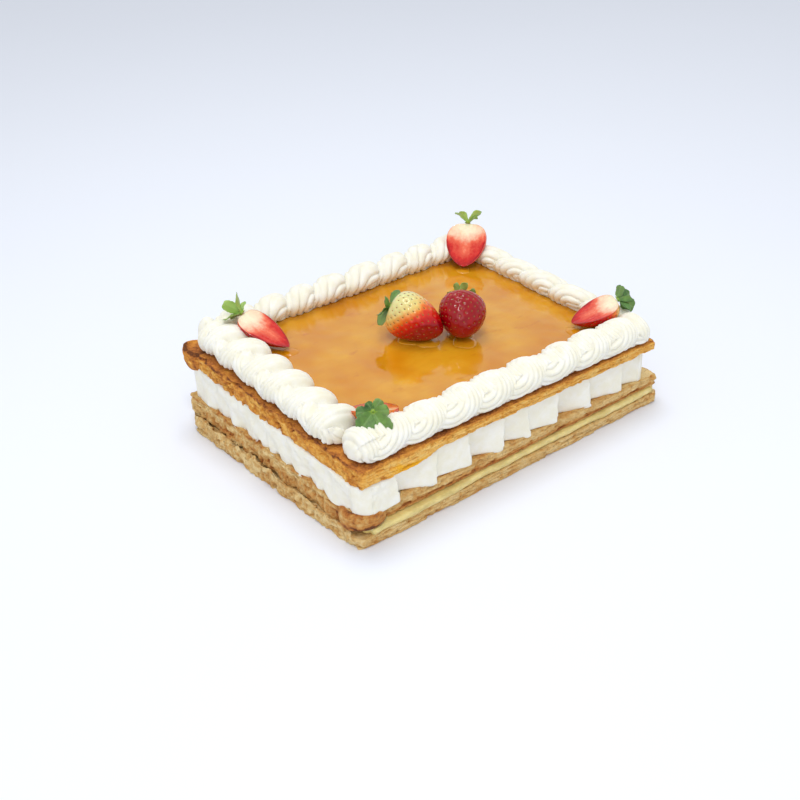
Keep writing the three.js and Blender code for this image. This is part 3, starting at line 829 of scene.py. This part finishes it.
def makeCreamLayer(material):
    # Panels along the front and back, waves at the ends, ragged cream at the near corner. All of
    # it is rounded off along its edges by a quarter circle, and its lower half hangs.
    look = creamLayer
    rim = outline(look["spacing"], look["insets"], look["radius"])
    share = np.linspace(0, 1, look["rows"])[:, None]
    ground = groundPoints(rim) + share[:, None] * np.array([0, 0, 30.0])
    panelPush, panelHang = creamPanels(rim, share)
    wavePush, waveHang = creamWaves(rim, share, ground)
    near = (rim["side"] == 0) * smooth(rim["place"][:, 0], *look["raggedFrom"])
    out, outMore = look["raggedOut"]
    panelPush = panelPush * (1 - near) + near * (out + outMore * cloud(ground, 3.6, look["seed"] + 3))
    down, downMore = look["raggedHang"]
    raggedHang = down + downMore * cloud(ground * (1, 1, 0), 6, look["seed"] + 7)
    panelHang = panelHang * (1 - near) + near * raggedHang
    along, across = (np.isin(rim["side"], sides) for sides in ((0, 2), (1, 3)))
    push = np.where(along, panelPush, np.where(across, wavePush, look["cornerOut"]))
    hang = np.where(along, panelHang, np.where(across, waveHang, look["panelHang"] * look["cornerHang"]))
    push = push + 0.35 * cloud(ground, 6, look["seed"] + 1)
    push = push - look["edge"] * (1 - quarterRound(np.minimum(share, 1 - share) / look["edgeReach"]))
    low, high = raised(cake["middleTop"], cake["gap"]), cake["creamTop"]
    rows = bandRows(rim, share, push, low, high)
    lift = frontLift(rim)
    rows[..., 2] += lift * share ** 2 - hang * np.clip(1 - share / look["hangReach"], 0, 1)
    bottom = capRows(rows[0], look["underSizes"], low)[::-1]
    rings = np.concatenate([bottom, rows, capRows(rows[-1], look["topSizes"], high, lift)])
    addLoft("creamLayer", rings, middles(low, high), material, "whipped_cream", "cream_layer")


glaze = {
    "columns": 210, "across": 160, "underStep": 20, "seed": 71,
    "insets": ((18, 10), (15, 10), (15, 14), (20, 19)), "power": 26, "rim": 0.012, "thinnest": 0.05,
    "wave": (0.28, 34), "ripple": (0.2, 8),  # height and size
}


def makeGlazeSheet(material):
    # Slices from left to right; each is the sheet's wavy top from front to back and its flat
    # underside back again. The slices' ends follow a rectangle with rounded corners.
    look = glaze
    u = -np.cos(np.linspace(0, math.pi, look["columns"] + 2)[1:-1])
    taper = (1 - np.abs(u) ** look["power"]) ** (1 / look["power"])
    v = np.linspace(-1, 1, look["across"])
    top = np.stack(np.broadcast_arrays(u[:, None], v[None] * taper[:, None]), -1)
    grid = np.concatenate([top, top[:, ::-look["underStep"]]], 1)
    xy = grid * halfSize + insetShift(grid, look["insets"])
    base = level(cake["pastryTop"], xy[..., 0], xy[..., 1]) + cake["gap"]
    flat = np.pad(xy, ((0, 0), (0, 0), (0, 1)))
    waves = [height * cloud(flat, size, look["seed"] + step)
             for step, (height, size) in enumerate((look["wave"], look["ripple"]))]
    rim = np.clip((1 - np.abs(grid).max(-1)) / look["rim"], 0, 1)
    height = cake["glazeThickness"] * np.sqrt(rim) + sum(waves) * rim
    isTop = np.arange(grid.shape[1]) < look["across"]
    z = base + np.where(isTop, np.maximum(height, look["thinnest"]), 0)
    rings = np.concatenate([xy, z[..., None]], -1)[:, ::-1]
    addLoft("glazeSheet", rings, rings[[0, -1]].mean(1), material, "amber_glaze", "glaze")


syrup = {
    # each small pool's place and radius: x, y, radius
    "pools": ((3, -6, 9.5), (-4, 6, 10), (23, -23, 9), (29, -14, 9.5), (98, -60, 6), (-84, 44, 6),
              (103, 68, 6)),
    "height": 1.4, "rings": 30, "around": 90, "uneven": 0.16, "wave": 0.7, "seed": 91, "startsAt": 0.8,
}


def makeSyrupPools(material):
    # Each pool is a low dome with a wavy edge: rings that shrink to its middle as the height
    # rises on a quarter of an oval. Its flat underside closes it.
    turn = np.linspace(0, 2 * math.pi, syrup["around"], endpoint=False)[None]
    part = np.linspace(0, 1, syrup["rings"])[1:, None]
    size = np.concatenate([part[::3], [[1.0]], halfOval(part)[:-1]])
    rise = np.concatenate([0 * part[::3], [[0.0]], part[:-1]])
    lofts = []
    for index, (x, y, radius) in enumerate(syrup["pools"]):
        circle = ovalPoints(1, 1, turn, index * 3.0)
        reach = radius * (1 + syrup["uneven"] * cloud(circle, syrup["wave"], syrup["seed"]))
        across, ahead = x + reach * size * np.cos(turn), y + reach * size * np.sin(turn)
        ground = level(cake["pastryTop"], across, ahead) + cake["gap"]
        ground = ground + syrup["startsAt"] * cake["glazeThickness"]
        rings = np.stack([across, ahead, ground + syrup["height"] * rise], -1)
        lofts.append((rings, *((x, y, ring[..., 2].mean()) for ring in (rings[0], rings[-1]))))
    addPiece("syrupPools", makeMesh("syrupPools", *joinLofts(lofts)), material, "amber_glaze")


berries = {
    "centre_left": {"tip": (9.5, -15, 11), "hull": (-10.5, 19, 24), "radius": 17.5, "half": False,
                    "blunt": (0.6, 0.27), "ripe": 1.0, "pale": 0.66, "paleSide": 0.26},
    "centre_right": {"tip": (18, -29, 11.5), "hull": (37, -3, 25), "radius": 17.5, "half": False,
                     "ripe": 1.0, "pale": 0.04, "paleSide": 0.0},
    "half_front": {"tip": (-80, -50, 3), "hull": (-104.5, -80.5, 20.5), "radius": 16.5, "half": True,
                   "depth": 0.55, "ripe": 0.62, "pale": 0.12, "paleSide": 0.0},
    "half_right": {"tip": (99, -57, 7), "hull": (128.5, -73.5, 23), "radius": 15, "half": True,
                   "blunt": (0.66, 0.33), "ripe": 0.8, "pale": 0.3, "paleSide": 0.0},
    "half_back": {"tip": (101.5, 67, 6), "hull": (122.5, 84.5, 32), "radius": 16.5, "half": True,
                  "ripe": 0.78, "pale": 0.3, "paleSide": 0.0},
    "half_left": {"tip": (-84.5, 44, 6), "hull": (-100.5, 77, 24), "radius": 14, "half": True,
                  "blunt": (0.72, 0.33), "ripe": 0.92, "pale": 0.18, "paleSide": 0.0},
}
berryShape = {
    "blunt": (0.6, 0.35), "rows": 110, "around": 150, "across": 60, "halfDepth": 0.78, "cutSag": 0.5,
    "first": 0.012, "last": 0.985, "lobes": 3, "lobeDepth": 0.03, "seed": 81, "fibre": 0.18,
    "seeds": 170, "pitDepth": 0.7, "pitSize": 1.3, "seedLength": 0.75, "seedWidth": 0.45,
    "seedRings": (-0.75, -0.25, 0.3, 0.75), "seedSides": 6, "seedRest": 0.75,
    "seedTip": 1.25, "seedFlat": 0.6,
    "paleTurn": 100, "ripeTip": 0.12, "ripePit": 0.1, "ripeUneven": 0.08,
    # the flesh's red: everywhere, further out, and less or more of it at the core, hull, rim and tip
    "flesh": {"all": 0.7, "outer": 0.1, "core": 0.18, "hull": 0.66, "rim": 0.34, "tip": 0.2},
}


def berryFrame(berry):
    # tip, axes (across, up, along) as columns, and length; the cut face of a half looks up
    def onTop(place):
        x, y, above = place
        return np.array([x, y, level(cake["pastryTop"], x, y) + above], float)

    tip, hull = onTop(berry["tip"]), onTop(berry["hull"])
    length = np.linalg.norm(hull - tip)
    along = (hull - tip) / length
    up = np.array([0, 0, 1.0]) - along * along[2]
    up /= np.linalg.norm(up)
    return tip, np.stack([np.cross(up, along), up, along], 1), length


def toCake(points, berry):
    # points in the berry's own axes, from its tip, as places on the cake
    tip, axes, _ = berryFrame(berry)
    return points @ axes.T + tip


def berryWidth(share, blunt):
    # a blunt cone with shoulders, from its tip to its hull, as a share of the greatest width
    tipPower, hullPower = blunt
    widest = tipPower / (tipPower + hullPower)
    greatest = widest ** tipPower * (1 - widest) ** hullPower
    return share ** tipPower * (1 - share) ** hullPower / greatest


def skinPoint(share, turn, berry, length):
    # share goes from tip to hull and turn round an oval, with a few soft lobes
    swell = 1 + berryShape["lobeDepth"] * np.sin(berryShape["lobes"] * turn + berry["radius"])
    wide = berry["radius"] * berryWidth(share, berry.get("blunt", berryShape["blunt"])) * swell
    deep = wide * (berry.get("depth", berryShape["halfDepth"]) if berry["half"] else 1)
    return ovalPoints(wide, deep, turn, length * share)


def seedPlaces(berry, length):
    # seeds on a golden-angle spiral, closer together at the tip; none on a cut face
    index = np.arange(berryShape["seeds"]) + 0.5
    share = 0.03 + 0.9 * (index / berryShape["seeds"]) ** 0.72
    turn = (index * math.pi * (3 - math.sqrt(5))) % (2 * math.pi)
    if berry["half"]:
        keep = (turn > math.pi + 0.12) & (turn < 2 * math.pi - 0.12)
        share, turn = share[keep], turn[keep]
    step = 1e-3
    place = skinPoint(share, turn, berry, length)
    ahead = skinPoint(share + step, turn, berry, length) - place
    aside = skinPoint(share, turn + step, berry, length) - place
    normal = np.cross(aside, ahead)
    normal /= np.linalg.norm(normal, axis=1)[:, None]
    ahead /= np.linalg.norm(ahead, axis=1)[:, None]
    return place, normal, ahead


def cutFace(skin, share, across, length):
    # lines across from edge to edge of the skin, dished a little, with long fibres
    edge = skin[:, -1:, 0] * across
    dip = -berryShape["cutSag"] * (1 - across ** 2) * (1 + 0 * share)
    face = np.stack([edge, dip, length * share + 0 * edge], -1)
    fibres = cloud(face * np.array([1, 0, 0.4]), 2.0, berryShape["seed"])
    face[..., 1] += berryShape["fibre"] * fibres * (1 - across ** 6)
    return face


def fleshTone(face, share, across):
    # red further out, paler in a core up the middle and towards the hull, and red again in a
    # thin rim under the skin and at the tip
    red, seed = berryShape["flesh"], berryShape["seed"]
    off = np.abs(across) + 0.07 * cloud(face, (3, 3, 9), seed + 4)
    core = np.exp(-((off / 0.28) ** 2)) * smooth(share, 0.12, 0.4)
    tone = red["all"] + red["outer"] * smooth(off, 0.3, 0.9) - red["core"] * core
    tone = tone + 0.05 * cloud(face, (1.6, 2, 7), seed + 6)
    tone = tone - red["hull"] * smooth(share + 0.05 * cloud(face, 4, seed + 7), 0.44, 0.92)
    tone = tone + red["rim"] * smooth(off, 0.84, 0.98) * (1 - 0.7 * smooth(share, 0.55, 0.9))
    return tone + red["tip"] * smooth(share, 0.3, 0.0)


def makeStrawberry(name, berry, material, seedMaterial):
    # Rings from tip to hull: the skin's arc, and on a half berry the cut face across it.
    # The skin dips round each seed.
    shape, half = berryShape, berry["half"]
    length = berryFrame(berry)[2]
    eased = 0.5 - 0.5 * np.cos(math.pi * np.linspace(0, 1, shape["rows"])[:, None])
    share = shape["first"] + (shape["last"] - shape["first"]) * eased
    if half:
        turn = np.linspace(math.pi, 2 * math.pi, shape["around"] // 2)[None]
    else:
        turn = np.linspace(0, 2 * math.pi, shape["around"], endpoint=False)[None]
    skin = skinPoint(share, turn, berry, length)
    seedAt, seedOut, seedAlong = seedPlaces(berry, length)
    apart = np.sqrt(((skin.reshape(-1, 1, 3) - seedAt) ** 2).sum(-1)).min(1).reshape(skin.shape[:2])
    pit = np.exp(-(apart / shape["pitSize"]) ** 2)
    if half:
        pit = pit * smooth(np.minimum(turn - math.pi, 2 * math.pi - turn), 0.0, 0.2)
    inward = np.stack([0 * share, 0 * share, length * share], -1) - skin
    inward /= np.maximum(np.linalg.norm(inward, axis=-1), 1e-6)[..., None]
    pitted = skin + inward * (shape["pitDepth"] * pit)[..., None]
    if half:
        across = np.linspace(1, -1, shape["across"] + 2)[None, 1:-1]
        face = cutFace(skin, share, across, length)
        rings = np.concatenate([pitted, face], 1)
    else:
        rings = skin = pitted
    lean = np.cos(turn - math.radians(shape["paleTurn"]))
    pale = smooth(share + berry["paleSide"] * lean, 0.8 - berry["pale"], 1.4 - berry["pale"] * 0.5)
    ripe = berry["ripe"] * (1 - pale) + shape["ripeTip"] * (1 - share) - shape["ripePit"] * pit
    ripe = ripe + shape["ripeUneven"] * cloud(skin, 9, shape["seed"] + 2)
    pulp, cut = np.zeros_like(ripe), np.zeros_like(ripe)
    if half:
        flesh = fleshTone(face, share, across)
        ripe = np.concatenate([ripe, np.repeat(ripe[:, -1:], flesh.shape[1], 1)], 1)
        pulp = np.concatenate([pulp, flesh], 1)
        cut = np.concatenate([cut, np.ones_like(flesh)], 1)
    ends = np.array([[0, -0.5 * half, 0], [0, -0.5 * half, length]])
    shades = {"ripe": ringValues(ripe, ripe[0].mean(), ripe[-1].mean()),
              "pulp": ringValues(pulp, 0.8, 0.1), "cutFace": ringValues(cut, 0, 0)}
    mesh = makeMesh("strawberry_" + name, toCake(loftPoints(rings, *ends), berry),
                    loftFaces(*rings.shape[:2]), shades)
    addPiece("strawberry_" + name, mesh, material, "strawberry", "strawberry_" + name)
    resting = seedAt - seedOut * shape["pitDepth"] * shape["seedRest"]
    makeSeeds(name, berry, resting, seedOut, seedAlong, seedMaterial)


def makeSeeds(name, berry, places, outs, alongs, material):
    # every seed is a small pointed egg of a few rings, all in one mesh
    shape = berryShape
    part = np.array(shape["seedRings"])[:, None]
    turn = np.linspace(0, 2 * math.pi, shape["seedSides"], endpoint=False)[None]
    wide = halfOval(part) * shape["seedWidth"]
    egg = ovalPoints(wide, wide * shape["seedFlat"], turn, part * shape["seedLength"])
    tips = (0, 0, -shape["seedLength"]), (0, 0, shape["seedLength"] * shape["seedTip"])
    eggPoints = loftPoints(egg, *tips)
    axes = np.stack([np.cross(outs, alongs), outs, alongs], 2)
    points = np.einsum("nij,kj->nki", axes, eggPoints) + places[:, None]
    shift = (np.arange(len(places)) * len(eggPoints))[:, None, None]
    faceSets = [(faces + shift).reshape(-1, faces.shape[1]) for faces in loftFaces(*egg.shape[:2])]
    mesh = makeMesh("seeds_" + name, toCake(points.reshape(-1, 3), berry), faceSets)
    addPiece("seeds_" + name, mesh, material, "strawberry")


# for each berry: the turn round the stem, length, opening from the stem and twist of every
# leaf, in degrees and mm, how young and pale the leaves are, and how wide
calyxes = {
    "centre_left": {"young": 0.15, "wide": 1.2, "leaves": (
        (125, 13, 84, 45), (50, 10, 60, 20), (-15, 12, 68, -20), (-50, 15, 78, -45), (185, 11, 74, 20),
        (-115, 10, 74, 40))},
    "centre_right": {"young": 0.55, "wide": 0.7, "leaves": (
        (70, 11, 50, 20), (115, 12, 50, -20), (170, 12, 65, 0), (10, 10, 62, 0), (-80, 9, 70, 0))},
    "half_front": {"young": 0.1, "wide": 1.25, "leaves": (
        (232, 17, 44, 0), (304, 18, 46, 0), (180, 11, 62, 15), (5, 11, 60, -15), (120, 7, 74, 0),
        (55, 9, 70, 0))},
    "half_right": {"young": 0.05, "wide": 1.25, "leaves": (
        (-40, 14, 26, 0), (-92, 15, 52, 60), (-130, 12, 62, 30), (65, 10, 44, -60), (20, 12, 36, -35))},
    "half_back": {"young": 0.85, "wide": 0.85, "leaves": (
        (0, 13.5, 42, 0), (40, 11, 40, 20), (180, 9, 44, 0), (160, 14, 38, 0), (-90, 10, 48, 0))},
    "half_left": {"young": 0.85, "wide": 1.0, "leaves": (
        (90, 15, 40, 20), (20, 15, 25, 0), (-12, 14.5, 62, -30), (150, 9, 52, 30), (-90, 11, 50, 30))},
}
leafShape = {
    "rows": 24, "across": 15, "thickness": 0.45, "width": 0.5887, "stalk": 0.5, "fold": 0.22, "droop": 0.34,
    "wave": 0.9, "hub": 2.4, "hubHeight": 1.4, "lift": 0.5, "tooth": 0.09, "teeth": 5.5,
    "veins": 6, "veinLean": 1.4, "youngVaries": 0.22,
}


def leafRing(turn, reach, spread, twist, wideness, seed):
    # A leaf runs out from the hub on a bending line: widest beyond its middle, blunt, with
    # toothed wavy edges, and folded a little. Top and underside make one ring for each row.
    shape = leafShape
    part = np.linspace(0.02, 0.99, shape["rows"])[:, None]
    across = np.linspace(-1, 1, shape["across"])[None]
    wide = reach * shape["width"] * wideness * part ** 0.8 * (1 - part) ** 0.35 + shape["stalk"] * (1 - part)
    wide = wide * (1 + shape["tooth"] * (np.abs(np.sin(part * math.pi * shape["teeth"])) - 0.6))
    bend = math.radians(spread) + shape["droop"] * part ** 1.5 * (1 + 0.7 * math.sin(seed))
    side = wide * across
    step = reach / (shape["rows"] - 1)
    out, rise = (np.cumsum(heading, 0) * step + 0 * side for heading in (np.sin(bend), np.cos(bend)))
    waves = np.sin(part * 9 + seed * 2 + across * 1.4)
    fold = shape["fold"] * np.abs(side) + shape["wave"] * part * np.abs(across) ** 1.5 * waves
    twist = math.radians(twist) * smooth(part, 0, 0.3)
    fold, side = fold * np.cos(twist) + side * np.sin(twist), side * np.cos(twist)
    top = np.stack([out - fold * np.cos(bend), side, rise + fold * np.sin(bend)], -1)
    under = top - shape["thickness"] * np.stack([-np.cos(bend), 0 * bend, np.sin(bend)], -1)
    ring = np.concatenate([top, under[:, ::-1]], 1)
    turn = math.radians(turn)
    rotate = np.array([[math.cos(turn), -math.sin(turn), 0], [math.sin(turn), math.cos(turn), 0], [0, 0, 1]])
    branches = np.abs(np.sin((part * shape["veins"] - np.abs(across) * shape["veinLean"]) * math.pi))
    vein = np.exp(-(across / 0.09) ** 2) + 0.4 * np.exp(-(branches / 0.2) ** 2)
    vein = 0.6 * np.concatenate([vein, 0.5 * vein[:, ::-1]], 1)
    return ring @ rotate.T, vein, np.broadcast_to(smooth(part, 0.16, 0.0), vein.shape)


def hubRing():
    # the green cap that the leaves grow from, narrowing to the stem's stump
    turn = np.linspace(0, 2 * math.pi, 24, endpoint=False)[None]
    part = np.linspace(0, 1, 8)[:, None]
    wide = leafShape["hub"] * (1 - 0.66 * smooth(part, 0.1, 0.7)) * (1 + 0.07 * np.cos(5 * turn))
    ring = ovalPoints(wide, wide, turn, part * leafShape["hubHeight"])
    return ring, np.zeros(ring.shape[:2]), np.ones(ring.shape[:2])


def makeCalyx(name, calyx, material):
    # the leaves and their hub stand on the berry's hull, all in one mesh
    berry = berries[name]
    foot = np.array([0, 0, berryFrame(berry)[2] + leafShape["lift"]])
    parts = [leafRing(*leaf, calyx["wide"], index * 2.1 + leaf[1])
             for index, leaf in enumerate(calyx["leaves"])]
    lofts, shades = [], {"vein": [], "hub": [], "young": []}
    for index, (ring, vein, hub) in enumerate([*parts, hubRing()]):
        ring = ring + foot
        lofts.append((ring, ring[0].mean(0), ring[-1].mean(0)))
        young = np.clip(calyx["young"] + leafShape["youngVaries"] * math.sin(index * 2.7), 0, 1)
        shades["vein"].append(ringValues(vein, 0, 0))
        shades["hub"].append(ringValues(hub, 1, 0))
        shades["young"].append(ringValues(np.full(vein.shape, young), young, young))
    points, faceSets = joinLofts(lofts)
    shades = {label: np.concatenate(values) for label, values in shades.items()}
    mesh = makeMesh("calyx_" + name, toCake(points, berry), faceSets, shades)
    addPiece("calyx_" + name, mesh, material, "leaf", "calyx_" + name)


# From and to are places on the cake. Pitch is the length of one loop or shell, phase where the
# first one starts, and eye the line of their middles as a share of the way round the core.
borders = {
    "front": {"from": (137, -92.7), "to": (-132.5, -90.5), "width": 28.5, "height": 17, "pitch": 30,
              "phase": 0.3, "eye": 0.66, "loopAcross": 0.3, "loopAlong": 10.5, "strandHalf": 8.2,
              "strandHeight": 4.4, "fill": 0.5, "ridge": 3.3, "ridgeDepth": 1.2, "loose": 1.7,
              "swell": 0.14, "last": 9.15, "seed": 101},
    "left": {"from": (-121.5, -75), "to": (-117.5, 94), "width": 33, "height": 18.5, "pitch": 26.7,
             "phase": 0.76, "eye": 0.56, "loopAcross": 0.36, "loopAlong": 6, "strandHalf": 9.2,
             "strandHeight": 6.2, "fill": 0.1, "ridge": 3.3, "ridgeDepth": 0.95, "loose": 1,
             "swell": 0, "last": 6.9, "seed": 105},
    "back": {"from": (-129, 92.6), "to": (136, 95.8), "width": 28, "height": 19.5, "pitch": 29.4,
             "phase": 0.22, "eye": 0.12, "shellAlong": 27, "shellInner": 0.5, "shellOuter": 0.54,
             "rise": 11, "fall": 9, "sink": 0.3, "strandHeight": 8.2, "fill": 0.12, "ridge": 6.0,
             "ridgeDepth": 1.7, "loose": 1, "swell": 0, "seed": 103},
    "right": {"from": (127.6, 95), "to": (128.4, -90), "width": 25, "height": 16, "pitch": 30.8,
              "phase": 0.34, "eye": 0.12, "shellAlong": 28, "shellInner": 0.5, "shellOuter": 0.54,
              "rise": 10, "fall": 9, "sink": 0.3, "strandHeight": 6.9, "fill": 0.12, "ridge": 6.0,
              "ridgeDepth": 1.5, "loose": 1.5, "swell": 0, "seed": 107},
}
piping = {
    "spacing": 0.6, "around": 112, "footTuck": 38, "footSteps": 6, "centre": 0.36, "heft": 0.22,
    "footRidge": 0.7, "ridgePower": 1.6, "later": 0.85, "steps": 40, "firstTurn": -0.6, "endRoom": 8.0,
    "scallop": 1.25, "scallopReach": 10, "roundsOver": 11.0, "swellReach": 30, "poleFade": 0.08,
    "tip": 0.05, "bumps": ((0.5, 13), (0.12, 3)),
    # how unlike the loops and shells of a rope are: shares of the pitch and of their own sizes
    "loopVaries": {"place": 0.08, "along": 0.15, "eye": 0.025, "across": 0.12},
    "shellVaries": {"place": 0.08, "eye": 0.03, "along": 0.08},
}


def ropeSection(rope):
    # the core's section: an oval that stands on the glaze and tucks in at its two feet, its
    # outward direction, and the distance round it from the first foot
    tuck = math.radians(piping["footTuck"])
    turn = np.linspace(-tuck, math.pi + tuck, piping["around"])
    half, top = rope["width"] / 2 - rope["strandHeight"], rope["height"] - rope["strandHeight"]
    centre = piping["centre"] * rope["height"]
    side = -half * np.cos(turn)
    up = np.where(turn * (math.pi - turn) > 0, (top - centre) * np.sin(turn),
                  centre * np.sin(turn) / math.sin(tuck)) + centre
    out = np.stack([-np.cos(turn) / half, np.sin(turn) / top], 1)
    out /= np.linalg.norm(out, axis=1)[:, None]
    steps = np.hypot(np.diff(side), np.diff(up))
    return side, up, out, np.concatenate([[0], np.cumsum(steps)])


def strandOver(rope, s, q, reach, girth):
    # The nozzle's path, unrolled on the core: one wide loop for each unit, moving on along the
    # rope on its outer side. Each place on the core belongs to the strand that is near and was
    # laid late. At the rope's ends the loops are held back. A strand is half an oval across,
    # thickest at the back of its loop. What comes back is its height, from 0 to 1, the nozzle's
    # ridges along it, and the place in the loop: -1 to 1 from the inner side to the outer one.
    rng = np.random.default_rng(rope["seed"])
    turns = np.arange(piping["firstTurn"], rope["last"], 1 / piping["steps"])
    whole = np.arange(-1, math.ceil(rope["last"]) + 1)
    slow = [rope["loose"] * np.interp(turns, whole, row) for row in rng.uniform(-1, 1, (4, len(whole)))]
    varies = {label: size * row for (label, size), row in zip(piping["loopVaries"].items(), slow)}
    angle = 2 * math.pi * (turns + rope["phase"])
    along = (turns + varies["place"]) * rope["pitch"]
    along = along + rope["loopAlong"] * (1 + varies["along"]) * np.cos(angle)
    along = np.clip(along, piping["endRoom"], reach - piping["endRoom"])
    across = rope["eye"] + varies["eye"] - rope["loopAcross"] * (1 + varies["across"]) * np.sin(angle)
    across = across * girth
    headAlong, headAcross = np.gradient(along), np.gradient(across)
    size = np.maximum(np.hypot(headAlong, headAcross), 1e-6)
    headAlong, headAcross = headAlong / size, headAcross / size
    half = rope["strandHalf"]
    best = np.full(np.broadcast(s, q).shape, np.inf)
    place, swing, back = (np.zeros_like(best) for _ in range(3))
    for step in range(len(turns)):
        awayAlong, awayAcross = s - along[step], q - across[step]
        cost = (awayAlong ** 2 + awayAcross ** 2) / half ** 2 - piping["later"] * turns[step]
        nearer = cost < best
        best = np.where(nearer, cost, best)
        offset = (headAlong[step] * awayAcross - headAcross[step] * awayAlong) / half
        place = np.where(nearer, offset, place)
        swing = np.where(nearer, -math.sin(angle[step]), swing)
        back = np.where(nearer, -math.cos(angle[step]), back)
    profile = rope["fill"] + (1 - rope["fill"]) * halfOval(place)
    comb = np.abs(np.cos(math.pi * place * half / rope["ridge"]))
    return profile * (1 + piping["heft"] * back), comb * smooth(np.abs(np.abs(place) - 1), 0, 0.2), swing


def shellsOver(rope, s, q, reach, girth):
    # One shell for each unit, each laid over the one before. A shell's edge is half an oval
    # round its eye, and the nozzle's ridges run as smaller ovals inside that edge. It rises from
    # its edge as a quarter circle, sinks towards the eye and rounds off at the next shell's edge.
    # What comes back is the height, from 0 to 1, the ridges and a swing of 0.
    rng = np.random.default_rng(rope["seed"])
    units = np.arange(-1, math.ceil(reach / rope["pitch"]) + 3)
    wobble = rope["loose"] * rng.uniform(-1, 1, (3, len(units)))
    varies = {label: size * row for (label, size), row in zip(piping["shellVaries"].items(), wobble)}
    eyeAlong = (units + rope["phase"] + varies["place"]) * rope["pitch"]
    long = rope["shellAlong"] * (1 + varies["along"])
    away = q - (rope["eye"] + varies["eye"][:, None]) * girth
    sideShare = away / (np.where(away < 0, rope["shellInner"], rope["shellOuter"]) * girth)
    sideShare = sideShare / np.cbrt(1 + np.abs(sideShare) ** 3)
    edges = eyeAlong[:, None] - long[:, None] * halfOval(sideShare)
    unit = (s >= edges[:, None]).sum(0) - 1
    column = np.arange(q.shape[1])
    before = np.minimum(s - eyeAlong[unit], 0) / long[unit]
    inward = np.clip(1 - np.hypot(before, sideShare[unit, column]), 0, 1)
    front = quarterRound(inward * rope["shellAlong"] / rope["rise"])
    behind = quarterRound((edges[unit + 1, column] - s) / rope["fall"])
    rounded = front * behind * (1 - rope["sink"] * inward ** 2)
    comb = np.abs(np.cos(math.pi * inward * rope["shellAlong"] / rope["ridge"]))
    return rope["fill"] + (1 - rope["fill"]) * rounded, comb, 0 * s


def makeBorder(side, rope, material):
    # A rope of cream: sections along a straight way, each a core with the height of the strands
    # or shells and the nozzle's ridges on it; s runs along it and q round the core. It rounds
    # off at both ends, where the ridges stand out along the rope as well.
    start, end = np.array(rope["from"], float), np.array(rope["to"], float)
    reach = np.linalg.norm(end - start)
    along = (end - start) / reach
    across = np.array([-along[1], along[0]])
    s = np.linspace(piping["tip"], reach - piping["tip"], round(reach / piping["spacing"]))[:, None]
    coreSide, coreUp, out, q = ropeSection(rope)
    girth = q[-1]
    lay = shellsOver if "shellAlong" in rope else strandOver
    profile, comb, swing = lay(rope, s, q[None], reach, girth)
    lowFoot, highFoot = (smooth(away, piping["scallopReach"], 0) for away in (q, girth - q))
    depth = rope["ridgeDepth"] * (1 + piping["footRidge"] * np.maximum(lowFoot, highFoot))
    ridges = -depth * (1 - comb) ** piping["ridgePower"]
    valley = piping["scallop"] * (lowFoot * (1 + swing) + highFoot * (1 - swing)) / 2
    height = rope["strandHeight"] * profile * (1 - valley) + ridges
    unrolled = np.stack(np.broadcast_arrays(s, q[None], 0 * s), -1)
    for step, (bump, size) in enumerate(piping["bumps"], 1):
        height = height + bump * cloud(unrolled, size, rope["seed"] + step)
    fromEnd = np.clip(np.minimum(s, reach - s) / piping["roundsOver"], 0, 1)
    taper = quarterRound(fromEnd)
    swell = 1 + rope["swell"] * smooth(s, reach - piping["swellReach"], reach - piping["roundsOver"])
    sideways = (coreSide + out[:, 0] * height) * taper * swell
    up = np.maximum((coreUp + out[:, 1] * height) * taper, 0)
    up[:, [0, -1]] = 0
    endRidges = ridges * halfOval(taper) * smooth(fromEnd, 0, piping["poleFade"])
    foot = np.linspace(sideways[:, -1], sideways[:, 0], piping["footSteps"] + 2, axis=1)[:, 1:-1]
    sideways = np.concatenate([sideways, foot], 1)
    up = np.concatenate([up, np.zeros_like(foot)], 1)
    lengthwise = s + endRidges * np.sign(s - reach / 2)
    lengthwise = np.pad(lengthwise, ((0, 0), (0, piping["footSteps"])), mode="edge")
    xy = start + along * lengthwise[..., None] + across * sideways[..., None]
    standsOn = raised(cake["pastryTop"], 2 * cake["gap"] + cake["glazeThickness"])
    rings = np.concatenate([xy, (level(standsOn, xy[..., 0], xy[..., 1]) + up)[..., None]], -1)[:, ::-1]
    ends = rings[[0, -1]].mean(1)
    addLoft("pipedBorder_" + side, rings, ends, material, "whipped_cream", "piped_border_" + side)


makeCamera()
makeStudio()
makeFloor()
print("camera, light and floor are in place")

pastryMaterials = {name: makePastry(name) for name in ("golden", "pale")}
for name, look in pastrySheets.items():
    makePastrySheet(name, look, pastryMaterials[look["look"]])
makeCustardLayer(makeToned("pastryCream", custardLook))
creamMaterial = makeToned("whippedCream", creamLook)
makeCreamLayer(creamMaterial)
glazeMaterial = makeGlaze()
makeGlazeSheet(glazeMaterial)
makeSyrupPools(glazeMaterial)
print("pastry, custard, cream and glaze are made")

berryMaterial = makeBerry()
seedMaterial, leafMaterial = makeToned("strawberrySeed", seedLook), makeToned("strawberryLeaf", leafLook)
for name, berry in berries.items():
    makeStrawberry(name, berry, berryMaterial, seedMaterial)
    makeCalyx(name, calyxes[name], leafMaterial)
print("strawberries and leaves are made")

for side, rope in borders.items():
    makeBorder(side, rope, creamMaterial)
print("piped border is made")
